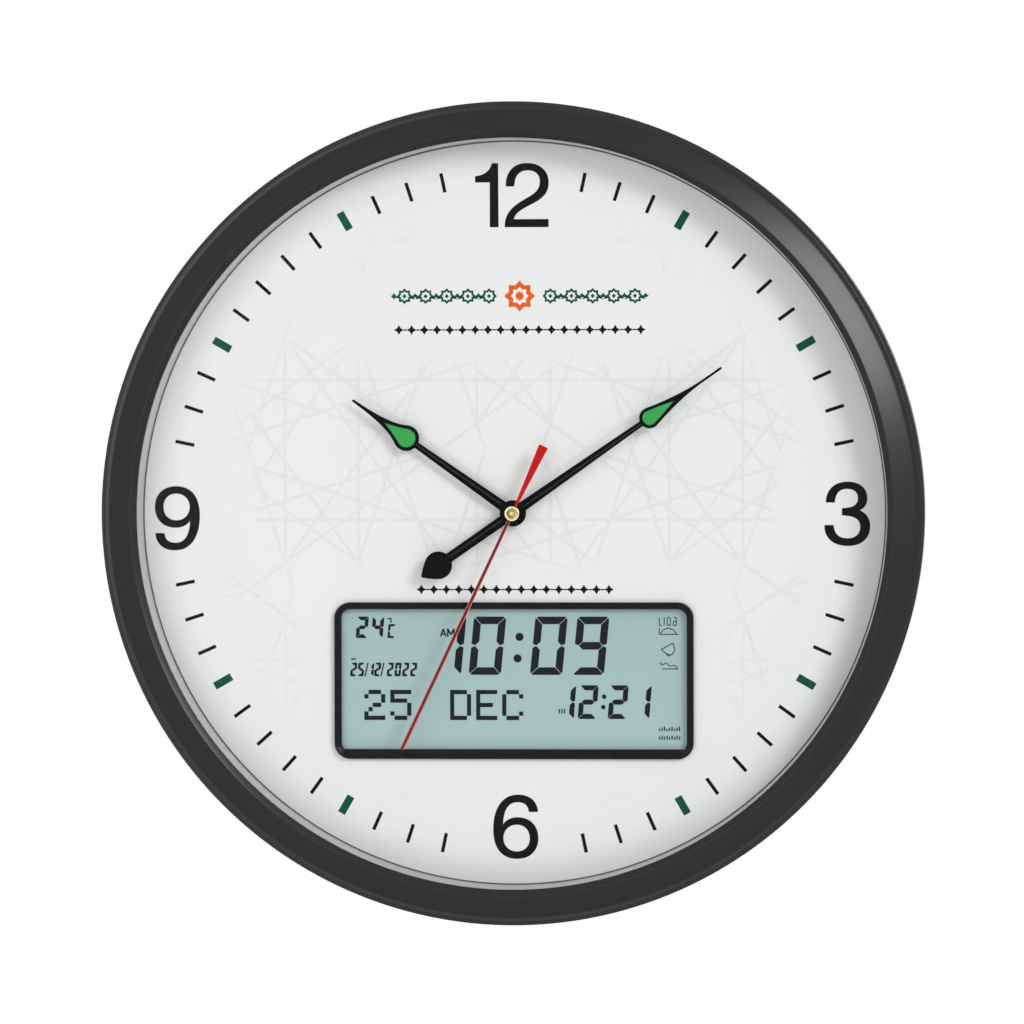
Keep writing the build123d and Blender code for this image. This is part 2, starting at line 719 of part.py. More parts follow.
def contact_plates(end, facing):
    """Two spring contacts on an end wall of the battery bay, one for each cell."""
    wall = Plane(origin=(end, -cell_axis, -HANGER_DROP), x_dir=(0, -1, 0), z_dir=(facing, 0, 0))
    spots = [(0, -facing * centre[1]) for centre in cell_centres]
    with BuildPart() as plates:
        with BuildSketch(wall):
            with Locations(*spots):
                Rectangle(contact_width, contact_width)
        extrude(amount=CONTACT_THICKNESS)
        with BuildSketch(wall.offset(CONTACT_THICKNESS)):
            with Locations(*spots):
                Rectangle(CELL_NUB_RADIUS, CELL_NUB_RADIUS)
        extrude(amount=contact_reach - CONTACT_THICKNESS)
    return plates


left_contacts = contact_plates(BAY_CENTRE[0] - BAY_LENGTH / 2, 1)
right_contacts = contact_plates(BAY_CENTRE[0] + BAY_LENGTH / 2, -1)

# ---------------------------------------------------------------- speaker

basket_low = COVER_INSIDE
basket_top = basket_low + SPEAKER_DEPTH - SPEAKER_MAGNET_HEIGHT
basket_mouth = SPEAKER_RADIUS - BASKET_RIM
cone_top = basket_top - 2 * BASKET_WALL

with BuildPart() as speaker_basket:
    with BuildSketch(level(basket_low)):
        with Locations(SPEAKER_CENTRE):
            Circle(SPEAKER_RADIUS)
    extrude(amount=BASKET_FLANGE)
    with BuildSketch(level(basket_low)):
        with Locations(SPEAKER_CENTRE):
            Circle(basket_mouth + BASKET_WALL)
    extrude(amount=basket_top - basket_low)
    with BuildSketch(level(basket_low)):
        with Locations(SPEAKER_CENTRE):
            Circle(basket_mouth)
    extrude(amount=basket_top - BASKET_WALL - basket_low, mode=Mode.SUBTRACT)

with BuildPart() as speaker_magnet:
    with BuildSketch(level(basket_top)):
        with Locations(SPEAKER_CENTRE):
            Circle(SPEAKER_MAGNET_RADIUS)
    extrude(amount=SPEAKER_MAGNET_HEIGHT)

with BuildPart() as speaker_cone:
    with BuildSketch(turning_plane(SPEAKER_CENTRE)):
        Polygon(
            (basket_mouth - FIT, basket_low),
            (basket_mouth - FIT, basket_low + CONE_WALL),
            (CONE_NECK, cone_top),
            (0, cone_top),
            (0, cone_top - CONE_WALL),
            (CONE_NECK, cone_top - CONE_WALL),
        )
    revolve(axis=turning_axis(SPEAKER_CENTRE))

# ---------------------------------------------------------------- gear train layout

HUB = (0.0, 0.0)
motion_centre = polar_centre(HUB, MOTION_DISTANCE, 180)
third_centre = polar_centre(HUB, THIRD_DISTANCE, 90)
idler_centre = polar_centre(HUB, IDLER_DISTANCE, 0)

motion_module = 2 * MOTION_DISTANCE / (MINUTE_PINION + MOTION_TEETH)
hour_module = 2 * MOTION_DISTANCE / (MOTION_PINION + HOUR_TEETH)
third_module = 2 * THIRD_DISTANCE / (SECOND_PINION + THIRD_TEETH)
centre_module = 2 * THIRD_DISTANCE / (THIRD_PINION + CENTRE_TEETH)
idler_module = 2 * IDLER_DISTANCE / (IDLER_PINION + SECOND_TEETH)
rotor_distance = idler_module * (IDLER_TEETH + ROTOR_PINION) / 2
rotor_centre = polar_centre(idler_centre, rotor_distance, ROTOR_DIRECTION)

# Heights of the wheels, counted up from the inside of the movement's lid
lid_inside = MOVEMENT_REVEAL + LID_THICKNESS
case_inside = MOVEMENT_FRONT - CASE_FRONT
second_level = lid_inside + SECOND_RISE
idler_level = second_level + IDLER_RISE
third_level = idler_level + THIRD_RISE
centre_level = third_level + CENTRE_RISE
motion_level = centre_level + MOTION_RISE
hour_level = motion_level + HOUR_RISE
wheel_top = MOVEMENT_FRONT - CASE_FRONT + PIVOT_DEPTH - FIT
pivot_low = lid_inside - PIVOT_DEPTH + FIT

# Ends of the coaxial tubes in front of the dial
bush_end = MOVEMENT_FRONT + BUSH_LENGTH
hour_hand_level = bush_end + HOUR_GAP
hour_tube_end = hour_hand_level + 2 * HAND_THICKNESS
minute_hand_level = hour_hand_level + HAND_THICKNESS + MINUTE_GAP
minute_tube_end = minute_hand_level + 2 * HAND_THICKNESS
second_hand_level = minute_hand_level + HAND_THICKNESS + SECOND_GAP
second_arbor_end = second_hand_level + HAND_THICKNESS + CAP_HEIGHT / 2

second_phase, idler_pinion_phase = mesh_phases(HUB, idler_centre, IDLER_PINION)
idler_phase, rotor_phase = mesh_phases(idler_centre, rotor_centre, ROTOR_PINION)
second_pinion_phase, third_phase = mesh_phases(HUB, third_centre, THIRD_TEETH)
third_pinion_phase, centre_phase = mesh_phases(third_centre, HUB, CENTRE_TEETH)
minute_phase, motion_phase = mesh_phases(HUB, motion_centre, MOTION_TEETH)
motion_pinion_phase, hour_phase = mesh_phases(motion_centre, HUB, HOUR_TEETH)

# ---------------------------------------------------------------- seconds train

with BuildPart() as second_wheel:
    with BuildSketch(level(second_level)):
        Polygon(*toothed_outline(SECOND_TEETH, idler_module, second_phase))
    extrude(amount=WHEEL_THICKNESS)
    with BuildSketch(level(second_level)):
        Polygon(*toothed_outline(SECOND_PINION, third_module, second_pinion_phase))
    extrude(amount=third_level + 2 * WHEEL_THICKNESS - second_level)
    with BuildSketch(level(pivot_low)):
        Circle(SECOND_ARBOR)
    extrude(amount=second_arbor_end - pivot_low)

with BuildPart() as third_wheel:
    with BuildSketch(level(third_level)):
        with Locations(third_centre):
            Polygon(*toothed_outline(THIRD_TEETH, third_module, third_phase))
    extrude(amount=WHEEL_THICKNESS)
    with BuildSketch(level(third_level)):
        with Locations(third_centre):
            Polygon(*toothed_outline(THIRD_PINION, centre_module, third_pinion_phase))
    extrude(amount=centre_level + 1.5 * WHEEL_THICKNESS - third_level)
    with BuildSketch(level(pivot_low)):
        with Locations(third_centre):
            Circle(WHEEL_ARBOR)
    extrude(amount=wheel_top - pivot_low)

with BuildPart() as centre_wheel:
    with BuildSketch(level(centre_level)):
        Polygon(*toothed_outline(CENTRE_TEETH, centre_module, centre_phase))
        Circle(MINUTE_TUBE + RUNNING_FIT, mode=Mode.SUBTRACT)
    extrude(amount=WHEEL_THICKNESS)

with BuildPart() as idler_wheel:
    with BuildSketch(level(idler_level)):
        with Locations(idler_centre):
            Polygon(*toothed_outline(IDLER_TEETH, idler_module, idler_phase))
    extrude(amount=WHEEL_THICKNESS)
    with BuildSketch(level(second_level - WHEEL_THICKNESS / 2)):
        with Locations(idler_centre):
            Polygon(*toothed_outline(IDLER_PINION, idler_module, idler_pinion_phase))
    extrude(amount=idler_level - second_level + WHEEL_THICKNESS / 2)
    with BuildSketch(level(pivot_low)):
        with Locations(idler_centre):
            Circle(WHEEL_ARBOR)
    extrude(amount=wheel_top - pivot_low)

magnet_low = lid_inside + STATOR_THICKNESS

with BuildPart() as rotor_pinion:
    with BuildSketch(level(magnet_low + MAGNET_LENGTH)):
        with Locations(rotor_centre):
            Polygon(*toothed_outline(ROTOR_PINION, idler_module, rotor_phase))
    extrude(amount=idler_level + 1.5 * WHEEL_THICKNESS - magnet_low - MAGNET_LENGTH)
    with BuildSketch(level(pivot_low)):
        with Locations(rotor_centre):
            Circle(WHEEL_ARBOR)
    extrude(amount=wheel_top - pivot_low)

with BuildPart() as rotor_magnet:
    with BuildSketch(level(magnet_low)):
        with Locations(rotor_centre):
            Circle(MAGNET_RADIUS)
            Circle(WHEEL_ARBOR + FIT / 2, mode=Mode.SUBTRACT)
    extrude(amount=MAGNET_LENGTH)

# ---------------------------------------------------------------- motion work and setting knob

with BuildPart() as minute_pinion:
    with BuildSketch(level(motion_level)):
        Polygon(*toothed_outline(MINUTE_PINION, motion_module, minute_phase))
    extrude(amount=2 * WHEEL_THICKNESS)
    with BuildSketch(level(centre_level)):
        Circle(MINUTE_TUBE)
    extrude(amount=minute_tube_end - centre_level)
    with BuildSketch(level(centre_level)):
        Circle(SECOND_ARBOR + RUNNING_FIT)
    extrude(amount=minute_tube_end - centre_level, mode=Mode.SUBTRACT)

with BuildPart() as motion_wheel:
    with BuildSketch(level(motion_level + WHEEL_THICKNESS / 2)):
        with Locations(motion_centre):
            Polygon(*toothed_outline(MOTION_TEETH, motion_module, motion_phase))
    extrude(amount=WHEEL_THICKNESS)
    with BuildSketch(level(motion_level + WHEEL_THICKNESS / 2)):
        with Locations(motion_centre):
            Polygon(*toothed_outline(MOTION_PINION, hour_module, motion_pinion_phase))
    extrude(amount=hour_level - motion_level + WHEEL_THICKNESS)
    with BuildSketch(level(motion_level + WHEEL_THICKNESS / 2)):
        with Locations(motion_centre):
            Circle(KNOB_ARBOR + FIT / 2)
    extrude(amount=wheel_top - motion_level, mode=Mode.SUBTRACT)

knob_low = MOVEMENT_REVEAL - KNOB_HEIGHT - RUNNING_FIT

with BuildPart() as setting_knob:
    with BuildSketch(level(knob_low)):
        with Locations(motion_centre):
            RegularPolygon(KNOB_RADIUS, KNOB_SIDES)
    extrude(amount=KNOB_HEIGHT)
    with BuildSketch(level(knob_low)):
        with Locations(motion_centre):
            Circle(KNOB_ARBOR)
    extrude(amount=wheel_top - knob_low)

with BuildPart() as hour_wheel:
    with BuildSketch(level(hour_level)):
        Polygon(*toothed_outline(HOUR_TEETH, hour_module, hour_phase))
    extrude(amount=WHEEL_THICKNESS)
    with BuildSketch(level(hour_level)):
        Circle(HOUR_TUBE)
    extrude(amount=hour_tube_end - hour_level)
    with BuildSketch(level(hour_level)):
        Circle(MINUTE_TUBE + RUNNING_FIT)
    extrude(amount=hour_tube_end - hour_level, mode=Mode.SUBTRACT)

# ---------------------------------------------------------------- movement case, motor and cell

cell_bay_height = 2 * CELL_RADIUS + 2 * CELL_CLEARANCE
cell_bay_centre = (0, CASE_WALL + cell_bay_height / 2 - MOVEMENT_HEIGHT / 2)
cell_bay_floor = MOVEMENT_FRONT - CELL_CLEARANCE
movement_cell_axis = cell_bay_floor - CELL_CLEARANCE - CELL_RADIUS
gear_bottom = cell_bay_centre[1] + cell_bay_height / 2 + CASE_WALL
gear_top = MOVEMENT_HEIGHT / 2 - CASE_WALL
gear_centre = (0, (gear_bottom + gear_top) / 2)
lid_bottom = gear_bottom - CASE_WALL
lid_height = MOVEMENT_HEIGHT / 2 - lid_bottom
arbor_centres = (third_centre, idler_centre, rotor_centre)

with BuildPart() as movement_case:
    with BuildSketch(level(MOVEMENT_REVEAL)):
        RectangleRounded(MOVEMENT_WIDTH, MOVEMENT_HEIGHT, CASE_CORNER)
    extrude(amount=MOVEMENT_DEPTH)
    with BuildSketch(level(MOVEMENT_FRONT)):
        Circle(BUSH_RADIUS)
    extrude(amount=BUSH_LENGTH)
    with BuildSketch(level(MOVEMENT_REVEAL)):
        with Locations(gear_centre):
            Rectangle(MOVEMENT_WIDTH - 2 * CASE_WALL, gear_top - gear_bottom)
    extrude(amount=case_inside - MOVEMENT_REVEAL, mode=Mode.SUBTRACT)
    with BuildSketch(level(MOVEMENT_REVEAL)):
        with Locations((0, lid_bottom + lid_height / 2)):
            Rectangle(MOVEMENT_WIDTH, lid_height)
    extrude(amount=LID_THICKNESS, mode=Mode.SUBTRACT)
    with BuildSketch(level(MOVEMENT_REVEAL)):
        with Locations(cell_bay_centre):
            Rectangle(CELL_BAY_LENGTH, cell_bay_height)
    extrude(amount=cell_bay_floor - MOVEMENT_REVEAL, mode=Mode.SUBTRACT)
    with BuildSketch(level(case_inside)):
        with Locations(*arbor_centres):
            Circle(WHEEL_ARBOR + RUNNING_FIT)
        with Locations(motion_centre):
            Circle(KNOB_ARBOR + RUNNING_FIT)
    extrude(amount=PIVOT_DEPTH, mode=Mode.SUBTRACT)
    with BuildSketch(level(case_inside)):
        Circle(HOUR_TUBE + RUNNING_FIT)
    extrude(amount=bush_end - case_inside, mode=Mode.SUBTRACT)

with BuildPart() as movement_lid:
    with BuildSketch(level(MOVEMENT_REVEAL)):
        RectangleRounded(MOVEMENT_WIDTH, MOVEMENT_HEIGHT, CASE_CORNER)
        with Locations((0, lid_bottom + lid_height / 2)):
            Rectangle(MOVEMENT_WIDTH, lid_height, mode=Mode.INTERSECT)
        with Locations(motion_centre):
            Circle(KNOB_ARBOR + RUNNING_FIT, mode=Mode.SUBTRACT)
    extrude(amount=LID_THICKNESS)
    with BuildSketch(level(lid_inside - PIVOT_DEPTH)):
        with Locations(HUB, *arbor_centres):
            Circle(WHEEL_ARBOR + RUNNING_FIT)
    extrude(amount=PIVOT_DEPTH, mode=Mode.SUBTRACT)

coil_up = gear_top - COIL_RADIUS - STATOR_THICKNESS
coil_level = lid_inside + COIL_RADIUS + 2 * FIT
stator_low = coil_level - STATOR_THICKNESS / 2
stator_left = rotor_centre[0] - STATOR_SPAN
stator_right = MOVEMENT_WIDTH / 2 - CASE_WALL - STATOR_THICKNESS
coil_centre = ((stator_left + stator_right) / 2, coil_up)
pole_radius = MAGNET_RADIUS + POLE_WIDTH

with BuildPart() as stator:
    with BuildSketch(level(stator_low)):
        with Locations(rotor_centre):
            Circle(pole_radius)
        Polygon(
            (stator_left, coil_up + CORE_WIDTH / 2),
            (stator_left, coil_up - STATOR_LEG),
            (rotor_centre[0] - pole_radius, rotor_centre[1]),
            (rotor_centre[0], rotor_centre[1] + pole_radius),
            (stator_left + STATOR_LEG, coil_up - CORE_WIDTH / 2),
            (stator_right - STATOR_LEG, coil_up - CORE_WIDTH / 2),
            (stator_right - STATOR_LEG, rotor_centre[1]),
            (stator_right, rotor_centre[1]),
            (stator_right, coil_up + CORE_WIDTH / 2),
        )
        with Locations(rotor_centre):
            Circle(MAGNET_RADIUS + STATOR_THICKNESS, mode=Mode.SUBTRACT)
    extrude(amount=STATOR_THICKNESS)

across = Plane(
    origin=(coil_centre[0] - COIL_LENGTH / 2, -coil_level, coil_up - HANGER_DROP),
    x_dir=(0, -1, 0),
    z_dir=(1, 0, 0),
)

with BuildPart() as coil_bobbin:
    with BuildSketch(across):
        Circle(COIL_RADIUS)
    extrude(amount=STATOR_THICKNESS)
    with BuildSketch(across.offset(COIL_LENGTH - STATOR_THICKNESS)):
        Circle(COIL_RADIUS)
    extrude(amount=STATOR_THICKNESS)
    with BuildSketch(across):
        Rectangle(2 * STATOR_THICKNESS, CORE_WIDTH + 2 * STATOR_THICKNESS)
    extrude(amount=COIL_LENGTH)
    with BuildSketch(across):
        Rectangle(STATOR_THICKNESS + 2 * FIT, CORE_WIDTH + 2 * FIT)
    extrude(amount=COIL_LENGTH, mode=Mode.SUBTRACT)

with BuildPart() as coil:
    with BuildSketch(across.offset(STATOR_THICKNESS)):
        Circle(COIL_RADIUS - 2 * FIT)
        Rectangle(
            2 * STATOR_THICKNESS + 2 * FIT,
            CORE_WIDTH + 2 * STATOR_THICKNESS + 2 * FIT,
            mode=Mode.SUBTRACT,
        )
    extrude(amount=COIL_LENGTH - 2 * STATOR_THICKNESS)

movement_cell = dry_cell(cell_bay_centre, movement_cell_axis, -1)
cell_reach = (CELL_BAY_LENGTH - CELL_LENGTH - CELL_NUB_LENGTH) / 2 - FIT

with BuildPart() as cell_contacts:
    with BuildSketch(level(movement_cell_axis - CELL_RADIUS / 2)):
        with Locations(cell_bay_centre):
            with GridLocations(CELL_BAY_LENGTH - cell_reach, 0, 2, 1):
                Rectangle(cell_reach, CELL_RADIUS)
    extrude(amount=CELL_RADIUS)

with BuildPart() as movement_board:
    with BuildSketch(level(case_inside - BOARD_THICKNESS / 2)):
        with Locations((motion_centre[0], gear_top - CASE_WALL - MODULE_HEIGHT / 2)):
            Rectangle(MODULE_WIDTH, MODULE_HEIGHT)
    extrude(amount=BOARD_THICKNESS / 2)

# ---------------------------------------------------------------- fixing on the dial

with BuildPart() as cushion_washer:
    with BuildSketch(level(MOVEMENT_FRONT)):
        Circle(CUSHION_RADIUS)
        Circle(BUSH_RADIUS + FIT, mode=Mode.SUBTRACT)
    extrude(amount=CUSHION_THICKNESS)

with BuildPart() as dial_washer:
    with BuildSketch(level(DIAL_FRONT)):
        Circle(WASHER_RADIUS)
        Circle(BUSH_RADIUS + FIT, mode=Mode.SUBTRACT)
    extrude(amount=WASHER_THICKNESS)

with BuildPart() as dial_nut:
    with BuildSketch(level(DIAL_FRONT + WASHER_THICKNESS)):
        RegularPolygon(NUT_FLATS / 2, 6, major_radius=False)
        Circle(BUSH_RADIUS + FIT, mode=Mode.SUBTRACT)
    extrude(amount=NUT_HEIGHT)

# ---------------------------------------------------------------- hands

def drop_outline(middle, radius, needle_end):
    """Drop-shaped pane of a hand: a round back, hollow flanks and a needle to the hand's tip."""
    leave = (cos(radians(DROP_LEAVE)), sin(radians(DROP_LEAVE)))
    needle_start = (middle + NEEDLE_START * radius, NEEDLE_HALF)
    CenterArc((middle, 0), radius, DROP_LEAVE, 360 - 2 * DROP_LEAVE)
    Spline(
        (middle + radius * leave[0], radius * leave[1]),
        needle_start,
        tangents=((leave[1], -leave[0]), (1, -0.05)),
    )
    Line(needle_start, (needle_end - NEEDLE_TIP, NEEDLE_TIP))
    CenterArc((needle_end - NEEDLE_TIP, 0), NEEDLE_TIP, 0, 90)
    mirror(about=Plane.XZ)


def pane_outline(middle, radius, point):
    """Coloured pane inside a drop: a round back and nearly straight flanks to a point."""
    leave = (cos(radians(DROP_LEAVE)), sin(radians(DROP_LEAVE)))
    CenterArc((middle, 0), radius, DROP_LEAVE, 360 - 2 * DROP_LEAVE)
    Spline(
        (middle + radius * leave[0], radius * leave[1]),
        (point, 0),
        tangents=((leave[1], -leave[0]), (1, -0.25)),
    )
    mirror(about=Plane.XZ)


def shaft_corners(start, start_half, end, end_half):
    """Corners of a tapered shaft along a hand."""
    return ((start, start_half), (start, -start_half), (end, -end_half), (end, end_half))


hour_pane = HOUR_DROP_RADIUS - HOUR_BORDER
minute_pane = MINUTE_DROP_RADIUS - MINUTE_BORDER
leaf_leave = (cos(radians(TAIL_LEAF_LEAVE)), sin(radians(TAIL_LEAF_LEAVE)))

with BuildPart() as hour_hand:
    with BuildSketch(hand_plane(hour_hand_level, HOUR_ANGLE)):
        with BuildLine():
            drop_outline(HOUR_DROP_AT, HOUR_DROP_RADIUS, HOUR_LENGTH)
        make_face()
        Circle(HOUR_HUB)
        Polygon(*shaft_corners(0, HOUR_ROOT_HALF, HOUR_DROP_AT, HOUR_NECK_HALF))
        Circle(HOUR_TUBE + FIT / 2, mode=Mode.SUBTRACT)
    extrude(amount=HAND_THICKNESS)
    with BuildSketch(hand_plane(hour_hand_level, HOUR_ANGLE)):
        with BuildLine():
            pane_outline(HOUR_DROP_AT, hour_pane, HOUR_PANE_POINT)
        make_face()
    extrude(amount=HAND_THICKNESS, mode=Mode.SUBTRACT)

with BuildPart() as hour_insert:
    with BuildSketch(hand_plane(hour_hand_level, HOUR_ANGLE)):
        with BuildLine():
            pane_outline(HOUR_DROP_AT, hour_pane - FIT, HOUR_PANE_POINT - 3 * FIT)
        make_face()
    extrude(amount=HAND_THICKNESS)

with BuildPart() as minute_hand:
    with BuildSketch(hand_plane(minute_hand_level, MINUTE_ANGLE)):
        with BuildLine():
            drop_outline(MINUTE_DROP_AT, MINUTE_DROP_RADIUS, MINUTE_LENGTH)
        make_face()
        Circle(MINUTE_HUB)
        Polygon(*shaft_corners(0, MINUTE_ROOT_HALF, MINUTE_DROP_AT, MINUTE_NECK_HALF))
        Polygon(*shaft_corners(-TAIL_LEAF_AT, MINUTE_TAIL_HALF, 0, MINUTE_ROOT_HALF))
        Circle(MINUTE_TUBE + FIT / 2, mode=Mode.SUBTRACT)
    extrude(amount=HAND_THICKNESS)
    with BuildSketch(hand_plane(minute_hand_level, MINUTE_ANGLE)):
        with BuildLine():
            CenterArc((-TAIL_LEAF_AT, 0), TAIL_LEAF_RADIUS, 0, TAIL_LEAF_LEAVE)
            Spline(
                (TAIL_LEAF_RADIUS * leaf_leave[0] - TAIL_LEAF_AT, TAIL_LEAF_RADIUS * leaf_leave[1]),
                (-TAIL_LENGTH, 0),
                tangents=((-leaf_leave[1], leaf_leave[0]), (-0.6, -0.8)),
            )
            mirror(about=Plane.XZ)
        make_face()
    extrude(amount=HAND_THICKNESS)
    with BuildSketch(hand_plane(minute_hand_level, MINUTE_ANGLE)):
        with BuildLine():
            pane_outline(MINUTE_DROP_AT, minute_pane, MINUTE_PANE_POINT)
        make_face()
    extrude(amount=HAND_THICKNESS, mode=Mode.SUBTRACT)

with BuildPart() as minute_insert:
    with BuildSketch(hand_plane(minute_hand_level, MINUTE_ANGLE)):
        with BuildLine():
            pane_outline(MINUTE_DROP_AT, minute_pane - FIT, MINUTE_PANE_POINT - 3 * FIT)
        make_face()
    extrude(amount=HAND_THICKNESS)

with BuildPart() as second_hand:
    with BuildSketch(hand_plane(second_hand_level, SECOND_ANGLE)):
        Circle(SECOND_HUB)
        Polygon(*shaft_corners(0, SECOND_ROOT_HALF, SECOND_LENGTH, SECOND_TIP_HALF))
        Polygon(*shaft_corners(-SECOND_TAIL, SECOND_TAIL_HALF, 0, SECOND_ROOT_HALF))
        Circle(CAP_STEM + FIT / 2, mode=Mode.SUBTRACT)
    extrude(amount=HAND_THICKNESS)

with BuildPart() as second_cap:
    with BuildSketch(level(second_hand_level + HAND_THICKNESS)):
        Circle(CAP_RADIUS)
    extrude(amount=CAP_HEIGHT)
    chamfer(second_cap.faces().sort_by(Axis.Y)[0].edges(), length=CAP_HEIGHT / 2)
    with BuildSketch(level(second_hand_level - HAND_THICKNESS)):
        Circle(CAP_STEM)
    extrude(amount=2 * HAND_THICKNESS)
    with BuildSketch(level(second_hand_level - HAND_THICKNESS)):
        Circle(SECOND_ARBOR + FIT / 2)
    extrude(amount=second_arbor_end - second_hand_level + HAND_THICKNESS, mode=Mode.SUBTRACT)

# ---------------------------------------------------------------- export

pieces = {
    "front_frame": front_frame,
    "front_glass": front_glass,
    "dial_ring": dial_ring,
    "dial": dial,
    "lcd_bezel": lcd_bezel,
    "lcd_panel": lcd_panel,
    "lcd_reflector": lcd_reflector,
    "lcd_holder": lcd_holder,
    "contact_strips": contact_strips,
    "main_board": main_board,
    "board_parts": board_parts,
    "tact_switches": tact_switches,
    **buttons,
    "back_cover": back_cover,
    "hanger_housing": hanger_housing,
    "battery_tub": battery_tub,
    "cover_posts": cover_posts,
    "cover_screws": cover_screws,
    "hanger_plate": hanger_plate,
    "hanger_rivets": hanger_rivets,
    "battery_door": battery_door,
    "lower_cell": lower_cell,
    "upper_cell": upper_cell,
    "left_contacts": left_contacts,
    "right_contacts": right_contacts,
    "speaker_basket": speaker_basket,
    "speaker_magnet": speaker_magnet,
    "speaker_cone": speaker_cone,
    "movement_case": movement_case,
    "movement_lid": movement_lid,
    "movement_board": movement_board,
    "stator": stator,
    "coil": coil,
    "coil_bobbin": coil_bobbin,
    "movement_cell": movement_cell,
    "cell_contacts": cell_contacts,
    "cushion_washer": cushion_washer,
    "dial_washer": dial_washer,
    "dial_nut": dial_nut,
    "second_wheel": second_wheel,
    "third_wheel": third_wheel,
    "centre_wheel": centre_wheel,
    "idler_wheel": idler_wheel,
    "rotor_pinion": rotor_pinion,
    "rotor_magnet": rotor_magnet,
    "minute_pinion": minute_pinion,
    "motion_wheel": motion_wheel,
    "setting_knob": setting_knob,
    "hour_wheel": hour_wheel,
    "hour_hand": hour_hand,
    "hour_insert": hour_insert,
    "minute_hand": minute_hand,
    "minute_insert": minute_insert,
    "second_hand": second_hand,
    "second_cap": second_cap,
}

for label, piece in pieces.items():
    piece.part.label = label
    export_step(piece.part, f"parts/{label}.step")
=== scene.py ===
"""Looks of a round wall clock with three hands and a liquid-crystal panel.

Pieces are drawn on the page, in millimetres from the hand axis: x to the right, y up, and z the height
from the wall towards the viewer. hang() then stands the page against the wall in the shared frame.
"""

import json
from math import atan2, ceil, cos, degrees, floor, hypot, pi, radians, sin, tan

import bpy
from bpy.props import FloatProperty, FloatVectorProperty, IntProperty, PointerProperty
from mathutils import Matrix, Quaternion, Vector


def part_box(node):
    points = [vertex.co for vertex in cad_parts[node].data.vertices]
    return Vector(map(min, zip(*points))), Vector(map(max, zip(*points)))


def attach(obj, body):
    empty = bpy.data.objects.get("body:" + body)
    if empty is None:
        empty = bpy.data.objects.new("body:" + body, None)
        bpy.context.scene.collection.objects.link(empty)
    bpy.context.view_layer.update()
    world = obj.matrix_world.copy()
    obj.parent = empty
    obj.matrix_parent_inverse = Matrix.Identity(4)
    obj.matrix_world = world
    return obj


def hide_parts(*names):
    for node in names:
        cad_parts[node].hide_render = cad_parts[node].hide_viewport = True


bl_info = {
    "name": "Round Wall Clock",
    "version": (1, 0, 0),
    "blender": (4, 5, 0),
    "location": "View3D > Sidebar > Wall Clock",
    "description": "Dresses the packed wall clock with its frame, prints, hands, panel and back details",
    "category": "Object",
}

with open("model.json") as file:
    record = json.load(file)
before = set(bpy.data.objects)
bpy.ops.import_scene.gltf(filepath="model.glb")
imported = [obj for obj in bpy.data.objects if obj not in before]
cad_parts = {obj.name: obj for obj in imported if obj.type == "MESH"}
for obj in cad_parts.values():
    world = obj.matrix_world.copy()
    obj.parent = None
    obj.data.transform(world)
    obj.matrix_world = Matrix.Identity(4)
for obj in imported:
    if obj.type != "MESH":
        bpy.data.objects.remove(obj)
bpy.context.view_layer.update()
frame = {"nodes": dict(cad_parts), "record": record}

MM = 0.001


def heights(node):
    """Heights in millimetres of a node's faces towards the wall and towards the viewer."""
    low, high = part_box(node)
    return -high.y / MM, -low.y / MM


def page_centre(node):
    """Centre of a node on the page, in millimetres from the hand axis."""
    low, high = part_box(node)
    return (low.x + high.x) / 2 / MM, ((low.z + high.z) / 2 - AXIS_Z) / MM


def page_size(node):
    """Width and height of a node on the page, in millimetres."""
    low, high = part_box(node)
    return (high.x - low.x) / MM, (high.z - low.z) / MM


AXIS_Z = (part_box("front_glass")[0].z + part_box("front_glass")[1].z) / 2
CLOCK_RADIUS = page_size("front_frame")[0] / 2
GLASS_RADIUS = page_size("front_glass")[0] / 2
DIAL_FRONT = heights("dial")[1]
GLASS_FRONT = heights("front_glass")[1]
PANEL_FRONT = heights("lcd_panel")[1]
PANEL_CENTRE = page_centre("lcd_bezel")

# Where the hands point, in degrees clockwise from twelve
HOUR_ANGLE = 305.2
MINUTE_ANGLE = 55.2
SECOND_ANGLE = 205.2

# Gaps in millimetres that keep a print and the faint pattern off the face below them
PRINT_LIFT = 0.01
PATTERN_LIFT = 0.004


# ---------------------------------------------------------------- what a user would change


def length(name, description, millimetres):
    """Property that holds a length."""
    return FloatProperty(name=name, description=description, default=millimetres * MM, unit="LENGTH")


def angle(name, description, value):
    """Property that holds an angle, given in degrees."""
    return FloatProperty(name=name, description=description, default=radians(value), unit="ROTATION")


def colour(name, description, *value):
    """Property that holds a colour."""
    return FloatVectorProperty(name=name, description=description, default=value, subtype="COLOR")


class ClockSizes(bpy.types.PropertyGroup):
    """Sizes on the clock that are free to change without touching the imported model."""

    round_steps: IntProperty(name="Round steps", description="Facets round the frame ring", default=240)
    tick_radius: length("Tick radius", "Middle of the minute marks", 156.2)
    tick_length: length("Tick length", "Length of the minute marks", 9.0)
    tick_width: length("Tick width", "Width of the minute marks", 1.6)
    hour_mark_width: length("Hour mark width", "Width of the green hour marks", 3.6)
    print_thickness: length("Print thickness", "Thickness of printed ink", 0.04)
    segment_gap: length("Segment gap", "Gap between display segments", 0.36)
    camera_distance: length("Camera distance", "From the camera to the frame's front", 3500.0)
    camera_turn: angle("Camera turn", "Turn of the camera to the right", 3.8)
    camera_rise: angle("Camera rise", "Rise of the camera above level", 1.4)
    camera_roll: angle("Camera roll", "Roll of the camera to its left", -0.12)


